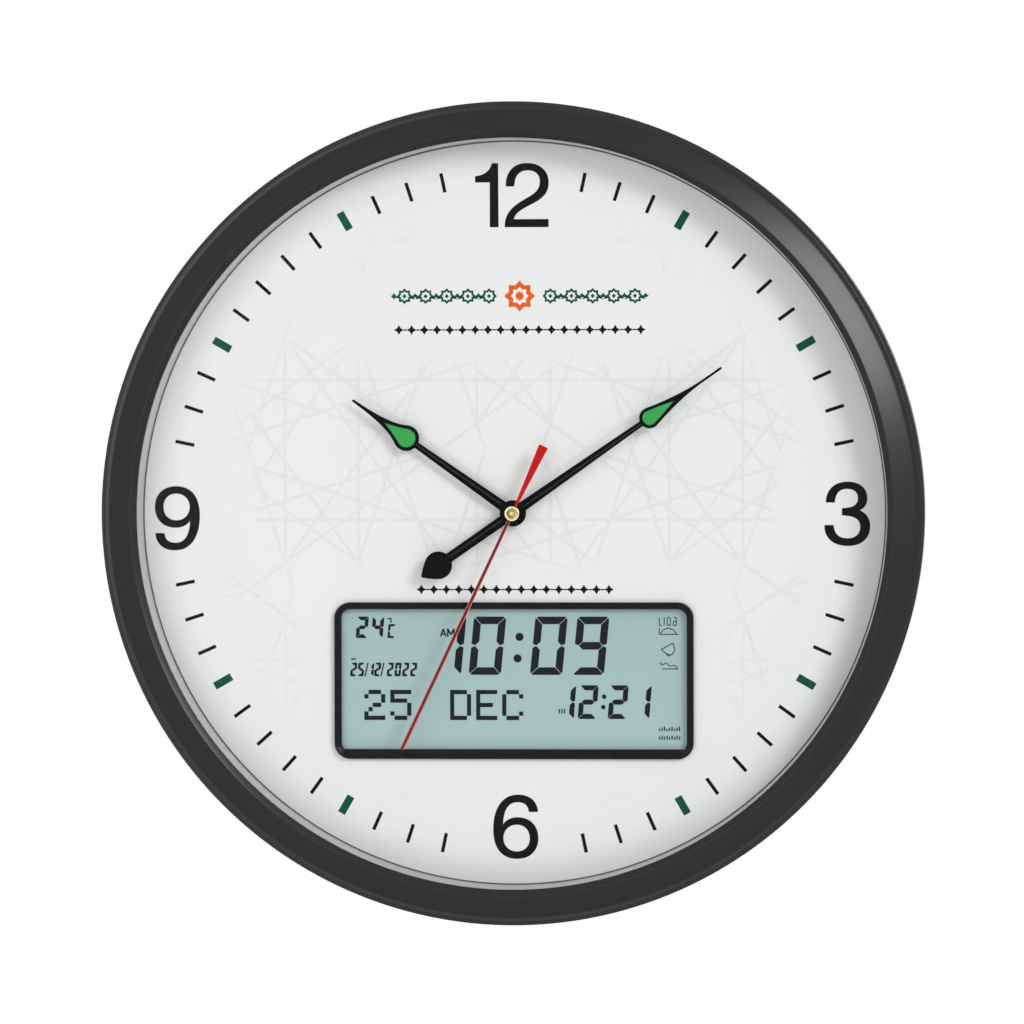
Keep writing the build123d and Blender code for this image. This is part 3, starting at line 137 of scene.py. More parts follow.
class ClockColours(bpy.types.PropertyGroup):
    """Colours of the clock's finishes."""

    charcoal: colour("Frame", "Frame plastic", 0.0050, 0.0052, 0.0056)
    dial: colour("Dial", "Dial's white", 0.84, 0.85, 0.845)
    ink: colour("Black ink", "Numerals and minute marks", 0.0040, 0.0038, 0.0035)
    mark_green: colour("Green ink", "Hour marks", 0.004, 0.085, 0.046)
    pane_green: colour("Pane green", "Panes in the hands", 0.045, 0.37, 0.085)
    hand_red: colour("Second hand", "Second hand's red", 0.55, 0.008, 0.008)
    display: colour("Display", "Background of the display", 0.39, 0.55, 0.53)
    orange: colour("Ornament", "Small star above the hands", 0.82, 0.12, 0.008)


# ---------------------------------------------------------------- modelling helpers


def pick(*pieces):
    """Selects these pieces alone, in object mode, and makes the last one active."""
    if bpy.context.object and bpy.context.object.mode != "OBJECT":
        bpy.ops.object.mode_set(mode="OBJECT")
    bpy.ops.object.select_all(action="DESELECT")
    for piece in pieces:
        piece.select_set(True)
        bpy.context.view_layer.objects.active = piece


def settle(piece):
    """Applies a piece's place, turn and scale to its mesh."""
    pick(piece)
    bpy.ops.object.transform_apply(location=True, rotation=True, scale=True)


def place_on_page(piece, x=0.0, y=0.0, z=0.0, turn=0.0):
    """Turns a piece on the page by an angle in radians and moves it, both applied to its mesh."""
    piece.rotation_euler = (0, 0, turn)
    piece.location = (x * MM, y * MM, z * MM)
    settle(piece)


def join(name, *pieces):
    """Joins pieces into one."""
    pick(*pieces)
    if len(pieces) > 1:
        bpy.ops.object.join()
    bpy.context.object.name = name
    return bpy.context.object


def copy_of(pattern):
    """Copy of a piece, with a mesh of its own."""
    pick(pattern)
    bpy.ops.object.duplicate()
    return bpy.context.object


def soften(piece, limit):
    """Shades a piece smooth where its faces meet at less than a limit in degrees."""
    pick(piece)
    bpy.ops.object.shade_smooth_by_angle(angle=radians(limit))


def bevelled(piece, width, segments):
    """Rounds a piece's sharp edges."""
    pick(piece)
    modifier = piece.modifiers.new("Rounded edges", "BEVEL")
    modifier.width = width * MM
    modifier.segments = segments
    modifier.limit_method = "ANGLE"
    modifier.angle_limit = radians(30)
    bpy.ops.object.modifier_apply(modifier=modifier.name)


def dress(piece, look, slot, *nodes, body="root"):
    """Gives a piece its finish and body, and hides the nodes that it stands for. The slot is not used."""
    piece.data.materials.clear()
    piece.data.materials.append(FINISHES[look])
    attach(piece, body)
    if nodes:
        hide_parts(*nodes)


def hang(piece, look, slot, *nodes, body="root", smooth=None):
    """Stands a piece from the page up against the wall, about the hand axis, and dresses it."""
    if smooth:
        soften(piece, smooth)
    piece.rotation_euler = (pi / 2, 0, 0)
    piece.location = (0, 0, AXIS_Z)
    settle(piece)
    dress(piece, look, slot, *nodes, body=body)


def open_whole(piece):
    """Opens a piece in edit mode with everything selected."""
    pick(piece)
    bpy.ops.object.mode_set(mode="EDIT")
    bpy.ops.mesh.select_all(action="SELECT")


def close_outwards():
    """Turns the faces of the open piece outwards and leaves edit mode."""
    bpy.ops.mesh.normals_make_consistent(inside=False)
    bpy.ops.object.mode_set(mode="OBJECT")


def select_points(piece, wanted):
    """Opens a piece in edit mode with only the wanted points selected."""
    pick(piece)
    bpy.ops.object.mode_set(mode="EDIT")
    bpy.ops.mesh.select_mode(type="VERT")
    bpy.ops.mesh.select_all(action="DESELECT")
    bpy.ops.object.mode_set(mode="OBJECT")
    for vertex in piece.data.vertices:
        vertex.select = wanted(vertex.co)
    bpy.ops.object.mode_set(mode="EDIT")


def turned(name, profile, steps, capped=False):
    """Turns a profile of (radius, height) points about the page's z axis.

    capped closes its two ends with faces. Otherwise the profile closes on itself.
    """
    pick()
    radius, height = profile[0]
    bpy.ops.mesh.primitive_circle_add(
        vertices=steps, radius=radius * MM, fill_type="NOTHING", location=(0, 0, height * MM)
    )
    piece = bpy.context.object
    piece.name = name
    settle(piece)
    open_whole(piece)
    for next_radius, next_height in profile[1:] if capped else [*profile[1:], profile[0]]:
        rise = (0, 0, (next_height - height) * MM)
        bpy.ops.mesh.extrude_region_move(TRANSFORM_OT_translate={"value": rise})
        share = next_radius / radius
        if share != 1:
            bpy.ops.transform.resize(value=(share, share, 1), center_override=(0, 0, next_height * MM))
        radius, height = next_radius, next_height
    bpy.ops.mesh.select_all(action="SELECT")
    bpy.ops.mesh.remove_doubles(threshold=1e-7)
    if capped:
        bpy.ops.mesh.fill_holes(sides=0)
    close_outwards()
    return piece


def roof_bar(name, start, end, start_half, end_half, low, high, crest):
    """Tapered bar along the page's x axis whose flanks slope up to a narrow crest."""
    pick()
    middle, centre = (start + end) / 2 * MM, (low + high) / 2 * MM
    bpy.ops.mesh.primitive_cube_add(
        size=1,
        location=(middle, 0, centre),
        scale=((end - start) * MM, 2 * start_half * MM, (high - low) * MM),
    )
    piece = bpy.context.object
    piece.name = name
    settle(piece)
    select_points(piece, lambda point: point.z > centre)
    bpy.ops.transform.resize(value=(1, crest, 1), center_override=(0, 0, 0))
    select_points(piece, lambda point: point.x > middle)
    bpy.ops.transform.resize(value=(1, end_half / start_half, 1), center_override=(0, 0, 0))
    bpy.ops.object.mode_set(mode="OBJECT")
    return piece


def new_curve(name, lines, closed=True):
    """Curve with straight runs through the points of each line, in millimetres."""
    curve = bpy.data.curves.new(name, "CURVE")
    curve.dimensions = "2D" if closed else "3D"
    for line in lines:
        spline = curve.splines.new("POLY")
        spline.points.add(len(line) - 1)
        for point, place in zip(spline.points, line):
            x, y, z = (*place, 0)[:3]
            point.co = (x * MM, y * MM, z * MM, 1)
        spline.use_cyclic_u = closed
    piece = bpy.data.objects.new(name, curve)
    bpy.context.scene.collection.objects.link(piece)
    return piece


def as_mesh(piece):
    """Mesh that a curve has become."""
    pick(piece)
    bpy.ops.object.convert(target="MESH")
    return bpy.context.object


def cut_sheet(name, outlines, low, high, edge=0.0, edge_steps=2):
    """Cuts a flat sheet to closed outlines, with holes where they lie inside each other, from low to high."""
    piece = new_curve(name, outlines)
    curve = piece.data
    curve.fill_mode = "BOTH"
    curve.extrude = ((high - low) / 2 - edge) * MM
    curve.bevel_depth = edge * MM
    curve.bevel_resolution = edge_steps
    curve.offset = -edge * MM
    piece = as_mesh(piece)
    place_on_page(piece, z=(low + high) / 2)
    return piece


def swept(name, path, profile):
    """Closed moulding along a closed path. The profile gives how far inside the path and at what height."""
    path, profile = new_curve(name, [path]), new_curve(name, [profile])
    path.data.bevel_mode = "OBJECT"
    path.data.bevel_object = profile
    piece = as_mesh(path)
    bpy.data.objects.remove(profile)
    open_whole(piece)
    close_outwards()
    return piece


def ribbons(name, lines, width, height):
    """Flat strokes along straight lines. Each direction has its own small lift, so strokes may cross."""
    sector, lift_step = 9, 0.0012
    lifted = []
    for start, end in lines:
        heading = degrees(atan2(end[1] - start[1], end[0] - start[0]))
        lift = lift_step * ((heading + sector / 2) % 180 // sector)
        lifted.append([(*start, lift), (*end, lift)])
    piece = new_curve(name, lifted, closed=False)
    piece.data.twist_mode = "Z_UP"
    piece.data.extrude = width / 2 * MM
    for spline in piece.data.splines:
        for point in spline.points:
            point.tilt = pi / 2
    piece = as_mesh(piece)
    place_on_page(piece, z=height)
    return piece


# ---------------------------------------------------------------- outlines


def rounded(corners, steps):
    """Points of a path whose corners (x, y, radius) are rounded with arcs; radius 0 leaves a corner sharp."""
    points = []
    count = len(corners)
    for index, (x, y, radius) in enumerate(corners):
        if radius == 0:
            points.append((x, y))
            continue
        corner = Vector((x, y))
        before = (Vector(corners[index - 1][:2]) - corner).normalized()
        after = (Vector(corners[(index + 1) % count][:2]) - corner).normalized()
        half = before.angle(after) / 2
        centre = corner + (before + after).normalized() * radius / sin(half)
        first = corner + before * radius / tan(half) - centre
        sweep = first.angle_signed(corner + after * radius / tan(half) - centre)
        for step in range(steps + 1):
            arm = first.copy()
            arm.rotate(Matrix.Rotation(-sweep * step / steps, 2))
            points.append(tuple(centre + arm))
    return points


def arc(x, y, radius, start, end, steps):
    """Points of an arc between two angles in degrees."""
    turns = [radians(start + (end - start) * step / steps) for step in range(steps + 1)]
    return [(x + radius * cos(turn), y + radius * sin(turn)) for turn in turns]


def disc(x, y, radius, steps=24):
    """Outline of a circle."""
    return arc(x, y, radius, 0, 360, steps)[:-1]


def bar(width, height, x=0.0, y=0.0):
    """Corners of an upright bar about a place on the page."""
    left, right, foot, top = x - width / 2, x + width / 2, y - height / 2, y + height / 2
    return [(left, foot), (right, foot), (right, top), (left, top)]


def stroke(start, end, width):
    """Corners of a straight stroke between two points."""
    start, end = Vector(start), Vector(end)
    along = (end - start).normalized()
    side = Vector((-along.y, along.x)) * width / 2
    return [tuple(start + side), tuple(start - side), tuple(end - side), tuple(end + side)]


def star(points, outer, inner, centre):
    """Outline of a star with a number of points."""
    x, y = centre
    reaches = [(inner if step % 2 else outer, pi * step / points) for step in range(2 * points)]
    return [(x + reach * sin(turn), y + reach * cos(turn)) for reach, turn in reaches]


def flow(start, leave, arrive, end, steps=12):
    """Points of a cubic curve after its start, with two handles."""
    points = []
    for step in range(1, steps + 1):
        t = step / steps
        weights = ((1 - t) ** 3, 3 * t * (1 - t) ** 2, 3 * t * t * (1 - t), t**3)
        handles = list(zip(weights, (start, leave, arrive, end)))
        points.append(tuple(sum(weight * place[axis] for weight, place in handles) for axis in (0, 1)))
    return points


def turned_about(points, clock_angle, distance):
    """Outline drawn upright at the page's middle, moved out along a clock angle and turned with it."""
    heading = radians(clock_angle)
    across, out = Vector((cos(heading), -sin(heading))), Vector((sin(heading), cos(heading)))
    return [tuple(across * x + out * (distance + y)) for x, y in points]


def mirrored(points):
    """Closed outline from its upper half, drawn from the tail to the tip along the x axis."""
    return points + [(x, -y) for x, y in reversed(points) if abs(y) > 1e-6]


def grown(points, amount):
    """Closed outline whose points are moved out by an amount, or in where it is negative."""
    count = len(points)
    area = sum(x * points[index - 1][1] - points[index - 1][0] * y for index, (x, y) in enumerate(points))
    side = amount if area < 0 else -amount
    moved = []
    for index, (x, y) in enumerate(points):
        along = (Vector(points[(index + 1) % count]) - Vector(points[index - 1])).normalized()
        moved.append((x + side * along.y, y - side * along.x))
    return moved


def pen(start, *moves, gain=0.25):
    """Closed outline drawn by a pen. A move is the point that a line goes to, or the three of a curve.

    gain is how much bolder the pen's outline becomes.
    """
    points = [start]
    for move in moves:
        if isinstance(move[0], tuple):
            points += flow(points[-1], *move)
        else:
            points.append(move)
    return grown(points, gain)


# ---------------------------------------------------------------- node helpers


def feed(tree, socket, value):
    """Gives a node's input a number, a colour or the output of another node."""
    if isinstance(value, bpy.types.NodeSocket):
        tree.links.new(value, socket)
    elif isinstance(value, (int, float)):
        socket.default_value = value
    elif value is not None:
        socket.default_value = (*value[:3], 1)


def node(tree, kind, *values, output=0, **settings):
    """New shader node with its settings and its first inputs; gives one of its outputs."""
    made = tree.nodes.new("ShaderNode" + kind)
    for setting, value in settings.items():
        setattr(made, setting, value)
    for socket, value in zip(made.inputs, values):
        feed(tree, socket, value)
    return made.outputs[output]


def maths(tree, operation, first, second=None, clamp=False):
    """Output of a Math node."""
    return node(tree, "Math", first, second, operation=operation, use_clamp=clamp)


def spread(tree, value, low, high, to_low=0.0, to_high=1.0):
    """Value moved from one span to another, clamped."""
    return node(tree, "MapRange", value, low, high, to_low, to_high)


def noise(tree, vector, scale, detail=3.0, roughness=0.55):
    """Factor of a noise texture on a vector."""
    return node(tree, "TexNoise", vector, None, scale, detail, roughness, output="Fac")


def mixed(tree, factor, first, second, blend="MIX"):
    """Mix of two colours."""
    values = (factor, *[None] * 5, first, second)
    return node(tree, "Mix", *values, output=2, data_type="RGBA", blend_type=blend)


def axis_of(tree, coordinates, letter):
    """One coordinate of a vector."""
    return node(tree, "SeparateXYZ", coordinates, output=letter)


def reach_of(tree, first, second):
    """Length of the arrow with these two coordinates."""
    squares = maths(tree, "MULTIPLY", first, first), maths(tree, "MULTIPLY", second, second)
    return maths(tree, "POWER", maths(tree, "ADD", *squares), 0.5)


def from_axis(tree, coordinates):
    """Coordinates of a place across and up from the axis of the hands."""
    x = axis_of(tree, coordinates, "X")
    return x, maths(tree, "SUBTRACT", axis_of(tree, coordinates, "Z"), AXIS_Z)


def off_axis(tree, coordinates):
    """Distance of a place from the axis of the hands."""
    return reach_of(tree, *from_axis(tree, coordinates))


# ---------------------------------------------------------------- finishes

FINISHES = {}


def build_surface_group():
    """Grain, mottling and handling marks that every finish shares."""
    group = bpy.data.node_groups.new("Surface Grain", "ShaderNodeTree")
    group.interface.new_socket(name="Vector", in_out="INPUT", socket_type="NodeSocketVector")
    for label, default in (("Grain Scale", 900.0), ("Mottle", 0.05), ("Gloss Drift", 0.06), ("Wear", 0.05)):
        socket = group.interface.new_socket(name=label, in_out="INPUT", socket_type="NodeSocketFloat")
        socket.default_value = default
    for label in ("Tone", "Gloss", "Height"):
        group.interface.new_socket(name=label, in_out="OUTPUT", socket_type="NodeSocketFloat")
    enter = group.nodes.new("NodeGroupInput").outputs
    leave = group.nodes.new("NodeGroupOutput").inputs

    def swing(value, amount):
        """Swing of a noise about zero."""
        return maths(group, "MULTIPLY", maths(group, "SUBTRACT", value, 0.5), enter[amount])

    fine = noise(group, enter["Vector"], enter["Grain Scale"], 4.0, 0.6)
    broad = noise(group, enter["Vector"], 22.0)
    marks = noise(group, enter["Vector"], 160.0, 5.0, 0.7)
    scuffs = maths(group, "MULTIPLY", spread(group, marks, 0.60, 0.74), enter["Wear"])
    mottle = maths(group, "ADD", swing(broad, "Mottle"), swing(fine, "Mottle"))
    tone = maths(group, "ADD", maths(group, "ADD", mottle, 1.0), scuffs)
    gloss = maths(group, "SUBTRACT", swing(broad, "Gloss Drift"), maths(group, "MULTIPLY", scuffs, 0.5))
    for label, value in (("Tone", tone), ("Gloss", gloss), ("Height", fine)):
        group.links.new(value, leave[label])


def finish(
    key, name, shade, roughness, grain=900, depth=0.01, mottle=0.06, drift=0.08, wear=0.06,
    paint=None, rougher=None, drawn=None, level=None, **sockets
):
    """Makes a finish with grain, mottling and wear, and keeps it under its key.

    grain is a noise scale and depth the grain's height in millimetres. mottle, drift and wear say how much
    the tone, the gloss and the scuffs vary. paint and rougher are functions that give a colour and an
    added roughness by place. drawn scales the grain along each axis, and level is the specular level.
    """
    material = bpy.data.materials.new(name)
    material.use_nodes = True
    tree = material.node_tree
    tree.nodes.clear()
    out = tree.nodes.new("ShaderNodeOutputMaterial")
    shader = tree.nodes.new("ShaderNodeBsdfPrincipled")
    tree.links.new(shader.outputs[0], out.inputs["Surface"])
    coordinates = place = node(tree, "TexCoord", output="Object")
    if drawn:
        mapping = tree.nodes.new("ShaderNodeMapping")
        mapping.inputs["Scale"].default_value = drawn
        tree.links.new(coordinates, mapping.inputs["Vector"])
        place = mapping.outputs[0]
    surface = tree.nodes.new("ShaderNodeGroup")
    surface.node_tree = bpy.data.node_groups["Surface Grain"]
    for socket, value in zip(surface.inputs, (place, grain, mottle, drift, wear)):
        feed(tree, socket, value)
    base = paint(tree, coordinates) if paint else shade
    feed(tree, shader.inputs["Base Color"], mixed(tree, 1.0, base, surface.outputs["Tone"], "MULTIPLY"))
    rough = maths(tree, "ADD", surface.outputs["Gloss"], roughness, clamp=True)
    if rougher:
        rough = maths(tree, "ADD", rough, rougher(tree, coordinates))
    feed(tree, shader.inputs["Roughness"], rough)
    bump = tree.nodes.new("ShaderNodeBump")
    bump.inputs["Distance"].default_value = depth * MM
    bump.inputs["Strength"].default_value = 1.0
    feed(tree, bump.inputs["Height"], surface.outputs["Height"])
    feed(tree, shader.inputs["Normal"], bump.outputs[0])
    if level is not None:
        shader.inputs["Specular IOR Level"].default_value = level
    for label, value in sockets.items():
        shader.inputs[label.replace("_", " ")].default_value = value
    material.diffuse_color = (*shade[:3], 1)
    FINISHES[key] = material


def side_roughness(tree, coordinates):
    """What the frame's outer wall has over the roughness of its front."""
    far = off_axis(tree, coordinates)
    return spread(tree, far, (CLOCK_RADIUS - 0.30) * MM, (CLOCK_RADIUS - 0.05) * MM, 0.0, 0.33)


def red_with_painted_sheen(tree, coordinates):
    """Second hand's red: even on the tail, and on the thin needle painted shade along its ridge between
    painted highlights on its edges.
    """
    # On the needle, ridge is painted shade and edge is a painted highlight.
    ridge, edge = (0.15, 0.006, 0.010), (0.66, 0.22, 0.20)
    heading = radians(SECOND_ANGLE)
    x, z = from_axis(tree, coordinates)
    parts = maths(tree, "MULTIPLY", x, cos(heading)), maths(tree, "MULTIPLY", z, sin(heading))
    across = maths(tree, "ABSOLUTE", maths(tree, "SUBTRACT", *parts))
    needle = mixed(tree, spread(tree, across, 0.35 * MM, 0.60 * MM), ridge, edge)
    return mixed(tree, spread(tree, z, -4 * MM, 6 * MM), needle, bpy.context.scene.clock_colours.hand_red)


def dial_white_with_edge_shade(tree, coordinates):
    """Dial's white, with painted shade that darkens it towards its edge under the frame's lip."""
    white = bpy.context.scene.clock_colours.dial
    share = spread(tree, off_axis(tree, coordinates), 156 * MM, 173 * MM)
    # The darker white near the edge is painted shade.
    return mixed(tree, share, white, [0.78 * part for part in white])


def brass_with_painted_rim_highlight(tree, coordinates):
    """Brass, which on the cap over the hands has a painted highlight on the rim and painted shade in the
    dish.
    """
    # The bright rim colour is a painted highlight and the dark dish colour is painted shade.
    middle, dish, rim = (0.62, 0.52, 0.28), (0.30, 0.23, 0.09), (0.86, 0.76, 0.48)
    far = off_axis(tree, coordinates)
    shade = middle
    for low, high, beyond in ((0.9, 1.3, dish), (2.2, 2.7, rim), (3.5, 4.0, BRASS)):
        shade = mixed(tree, spread(tree, far, low * MM, high * MM), shade, beyond)
    return shade


def display_teal_with_top_shade(tree, coordinates):
    """Display's teal grey, with painted shade that makes it a little darker towards its upper edge."""
    teal = bpy.context.scene.clock_colours.display
    half = page_size("lcd_panel")[1] / 2 * MM
    middle = AXIS_Z + PANEL_CENTRE[1] * MM
    share = spread(tree, axis_of(tree, coordinates, "Z"), middle - half, middle + half)
    # The darker upper part is painted shade.
    return mixed(tree, share, teal, [0.93 * part for part in teal])


def sleeve_paint(middle, facing):
    """Paint for the sleeve of a dry cell: a dark body, and a copper band at the end that has the nub."""
    dark, copper, band_start = (0.025, 0.03, 0.04), (0.42, 0.17, 0.05), 12 * MM

    def paint(tree, coordinates):
        along = maths(tree, "SUBTRACT", axis_of(tree, coordinates, "X"), middle)
        share = maths(tree, "GREATER_THAN", maths(tree, "MULTIPLY", along, facing), band_start)
        return mixed(tree, share, dark, copper)

    return paint


BRASS = (0.56, 0.43, 0.20)
SLEEVE = (0.03, 0.035, 0.045)
SLEEVE_SURFACE = (0.28, 800, 0.004, 0.1, 0.08, 0.1)


def build_finishes(own):
    """Makes every finish that the clock's own colours and the record's slots ask for."""
    # Roughness, grain, depth, mottle, drift and wear
    band = (0.27, 1400, 0.004, 0.10, 0.05, 0.05)
    glass = (0.03, 60, 0, 0.02, 0.01, 0)
    red = (0.4, 900, 0.003, 0.06, 0.06, 0.04)
    board = (0.35, 500, 0.01, 0.2, 0.1, 0.05)
    finish("frame_charcoal", "Frame charcoal", own.charcoal, *band, rougher=side_roughness, level=0.34)
    finish("clear_glass", "Clear glass", (0.03, 0.04, 0.04), *glass, Alpha=0.035, IOR=1.52)
    finish("ring_grey", "Ring grey", (0.50, 0.505, 0.51), 0.42, 1200, 0.004, 0.04, 0.05, 0.03)
    finish("dial_white", "Dial white with edge shade", own.dial, 0.55, 1500, 0.004, 0.012, 0.05, 0, dial_white_with_edge_shade, level=0.2)
    finish("lcd_glass", "Display glass", own.display, 0.22, 700, 0, 0.015, 0.04, 0, display_teal_with_top_shade, level=0.2)
    finish("hand_red", "Satin red hand", own.hand_red, *red, red_with_painted_sheen, level=0.05)
    finish("reflector_white", "Reflector white", (0.8, 0.8, 0.78), 0.6)
    # What is nearly black or printed, with its specular level last
    for key, name, shade, *surface, level in (
        ("bezel_black", "Bezel black", (0.0010, 0.0011, 0.0012), 0.24, 1100, 0.002, 0.08, 0.06, 0.04, 0.14),
        ("hand_black", "Satin black hand", (0.0014, 0.0014, 0.0013), 0.4, 900, 0.003, 0.2, 0.08, 0.1, 0.03),
        # A light strip of painted highlight along the crests of the hands.
        ("hand_crest", "Worn crest", (0.028, 0.028, 0.029), 0.35, 900, 0.002, 0.2, 0.08, 0.1, 0.1),
        ("pane_green", "Green pane", own.pane_green, 0.38, 900, 0.004, 0.06, 0.06, 0.03, 0.08),
        ("black_ink", "Black ink", own.ink, 0.5, 1600, 0.002, 0.2, 0.08, 0.05, 0.05),
        ("green_ink", "Green ink", own.mark_green, 0.5, 1600, 0.002, 0.1, 0.08, 0.03, 0.05),
        ("orange_ink", "Orange ink", own.orange, 0.5, 1600, 0.002, 0.1, 0.08, 0.03, 0.05),
        # Painted shade for the fine dark line at the foot of the spacer ring.
        ("edge_ink", "Edge line", (0.10, 0.10, 0.10), 0.5, 1600, 0.002, 0.1, 0.08, 0.03, 0.1),
        ("segment_ink", "Display segment", (0.0075, 0.0095, 0.014), 0.35, 1200, 0.001, 0.15, 0.06, 0, 0.08),
        ("faint_segment", "Faint segment", (0.022, 0.032, 0.036), 0.35, 1200, 0.001, 0.1, 0.06, 0, 0.08),
    ):
        finish(key, name, shade, *surface, level=level)
    # Plain finishes, some with the last values left as they are
    for key, name, shade, *surface in (
        ("black_plastic", "Black plastic", (0.013, 0.013, 0.014), 0.45, 1500, 0.012, 0.14, 0.10, 0.12),
        ("cover_plastic", "Moulded cover", (0.019, 0.0195, 0.021), 0.52, 1100, 0.03, 0.16, 0.12, 0.16),
        ("button_grey", "Button grey", (0.16, 0.165, 0.17), 0.42, 1300, 0.008, 0.08, 0.08, 0.08),
        ("contact_rubber", "Rubber", (0.03, 0.03, 0.032), 0.7, 900, 0.02),
        ("chip_black", "Chip black", (0.02, 0.02, 0.022), 0.5, 1500, 0.02),
        ("cell_sleeve", "Cell sleeve", SLEEVE, *SLEEVE_SURFACE),
        ("cone_paper", "Pressed pulp", (0.035, 0.033, 0.03), 0.8, 600, 0.08, 0.3),
        ("ferrite", "Ferrite", (0.045, 0.045, 0.05), 0.6, 800, 0.03, 0.2),
        ("acetal", "Acetal", (0.76, 0.73, 0.66), 0.4, 900, 0.006, 0.05),
    ):
        finish(key, name, shade, *surface)
    finish("board_green", "Solder mask", (0.012, 0.12, 0.05), *board, Coat_Weight=0.3)
    finish("steel", "Zinc steel", (0.58, 0.58, 0.60), 0.34, drawn=(1.0, 1.0, 0.06), Metallic=1.0)
    finish("nickel", "Nickel", (0.66, 0.62, 0.56), 0.26, 800, drawn=(0.08, 1.0, 1.0), Metallic=1.0)
    finish("brass", "Brass", BRASS, 0.24, 900, 0.006, 0.12, 0.1, 0.1, brass_with_painted_rim_highlight, Metallic=1.0)
    finish("basket_metal", "Black metal", (0.03, 0.03, 0.032), 0.4, 700, 0.01, 0.1, Metallic=0.4)
    finish("copper_wire", "Copper winding", (0.52, 0.2, 0.07), 0.3, drawn=(8.0, 0.1, 0.1), Metallic=1.0)
    finish("sleeve_metal", "Cell end", (0.62, 0.61, 0.58), 0.28, 900, 0.004, 0.1, Metallic=1.0)


class CLOCK_OT_finishes(bpy.types.Operator):
    """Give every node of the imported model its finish"""

    bl_idname = "clock.finishes"
    bl_label = "Finishes"

    def execute(self, context):
        build_surface_group()
        build_finishes(context.scene.clock_colours)
        slots = {row["node"]: row["material_slot"] for row in frame["record"]["subparts"]}
        for name, part in frame["nodes"].items():
            if not part.material_slots:
                pick(part)
                bpy.ops.object.material_slot_add()
            for slot in part.material_slots:
                slot.material = FINISHES[slots[name]]
        pick()
        return {"FINISHED"}


# ---------------------------------------------------------------- frame and panel bezel


class CLOCK_OT_frame_ring(bpy.types.Operator):
    """Turn the frame ring with its convex band, lip and outer step"""

    bl_idname = "clock.frame_ring"
    bl_label = "Frame Ring"

    def execute(self, context):
        outer, top = CLOCK_RADIUS, heights("front_frame")[1]
        pocket, crown, lip = GLASS_RADIUS + 0.4, GLASS_RADIUS - 0.4, GLASS_RADIUS - 3.25
        band, band_edge = outer - 3.7, top - 4.2
        ledge = band_edge - 1.6
        seat = DIAL_FRONT - 3.5
        swell = []
        for step in range(1, 12):
            share = step / 12
            bulge = 0.12 * 4 * share * (1 - share)
            swell.append((band + (crown - band) * share, band_edge + (top - band_edge) * share + bulge, 0))
        wall, skirt = outer - 3.0, pocket + 2.0
        corners = [(outer, 0, 0.4), (outer, ledge - 1.8, 0.6), (outer - 1.8, ledge, 0.7)]
        corners += [(band, ledge, 0.25), (band, band_edge, 0.5), *swell, (crown, top, 0.35)]
        corners += [(lip, GLASS_FRONT + 1.6, 0.45), (lip, GLASS_FRONT, 0), (pocket, GLASS_FRONT, 0)]
        corners += [(pocket, seat, 0), (skirt, seat, 0), (skirt, GLASS_FRONT, 0)]
        corners += [(wall, ledge - 3.0, 0), (wall, 0, 0)]
        ring = turned("frame_ring", rounded(corners, 6), context.scene.clock_sizes.round_steps)
        hang(ring, "frame_charcoal", "frame_charcoal", "front_frame", smooth=28)
        return {"FINISHED"}


class CLOCK_OT_spacer_ring(bpy.types.Operator):
    """Turn the light ring between dial and glass, and lay a fine dark line of painted shade at its foot"""

    bl_idname = "clock.spacer_ring"
    bl_label = "Spacer Ring"

    def execute(self, context):
        outer = page_size("dial_ring")[0] / 2
        low, high = heights("dial_ring")
        foot, rim = GLASS_RADIUS - 4.0, GLASS_RADIUS - 3.5
        profile = rounded([(foot, low, 0), (outer, low, 0), (outer, high, 0.2), (rim, high, 0.4)], 4)
        ring = turned("spacer_ring", profile, context.scene.clock_sizes.round_steps)
        hang(ring, "ring_grey", "ring_grey", "dial_ring", smooth=30)
        # The fine dark line where the dial meets the ring is painted shade.
        circles = [disc(0, 0, foot - 0.05, 180), disc(0, 0, foot - 0.7, 180)]
        line = cut_sheet("foot_shade_line", circles, DIAL_FRONT + PRINT_LIFT, DIAL_FRONT + 0.04)
        hang(line, "edge_ink", "dial_white")
        return {"FINISHED"}


class CLOCK_OT_panel_bezel(bpy.types.Operator):
    """Sweep the bezel round the display, with its sloping top, its lower sill and its skirt in the dial"""

    bl_idname = "clock.panel_bezel"
    bl_label = "Panel Bezel"

    def execute(self, context):
        (width, height), top = page_size("lcd_bezel"), heights("lcd_bezel")[1]
        border, skirt = 3.2, 0.9
        path = rounded([(x, y, 7.4) for x, y in bar(width, height, *PANEL_CENTRE)], 8)
        inner = border - skirt
        profile = [(0, DIAL_FRONT, 0), (0, top, 0.55), (0.8, top, 0.5), (2.5, top - 0.7, 0.2)]
        profile += [(border, top - 0.8, 0.15), (border, PANEL_FRONT, 0)]
        profile += [(inner, PANEL_FRONT, 0), (inner, DIAL_FRONT, 0)]
        bezel = swept("panel_bezel", path, rounded(profile, 4))
        # A sill makes the lower bar wider than the others
        x, y = PANEL_CENTRE
        outline = bar(width - 2 * border + 1, 2.2, x, y - height / 2 + border + 0.2)
        sill = cut_sheet("panel_sill", [outline], PANEL_FRONT + 0.06, top - 0.95, 0.15)
        hang(bezel, "bezel_black", "bezel_black", "lcd_bezel", smooth=40)
        hang(sill, "bezel_black", "bezel_black")
        return {"FINISHED"}


# ---------------------------------------------------------------- dial prints

# Numerals on a grid from the baseline to the top, and the size of its unit in millimetres
GRID = 64
NUMERAL_UNIT = 29.5 / GRID

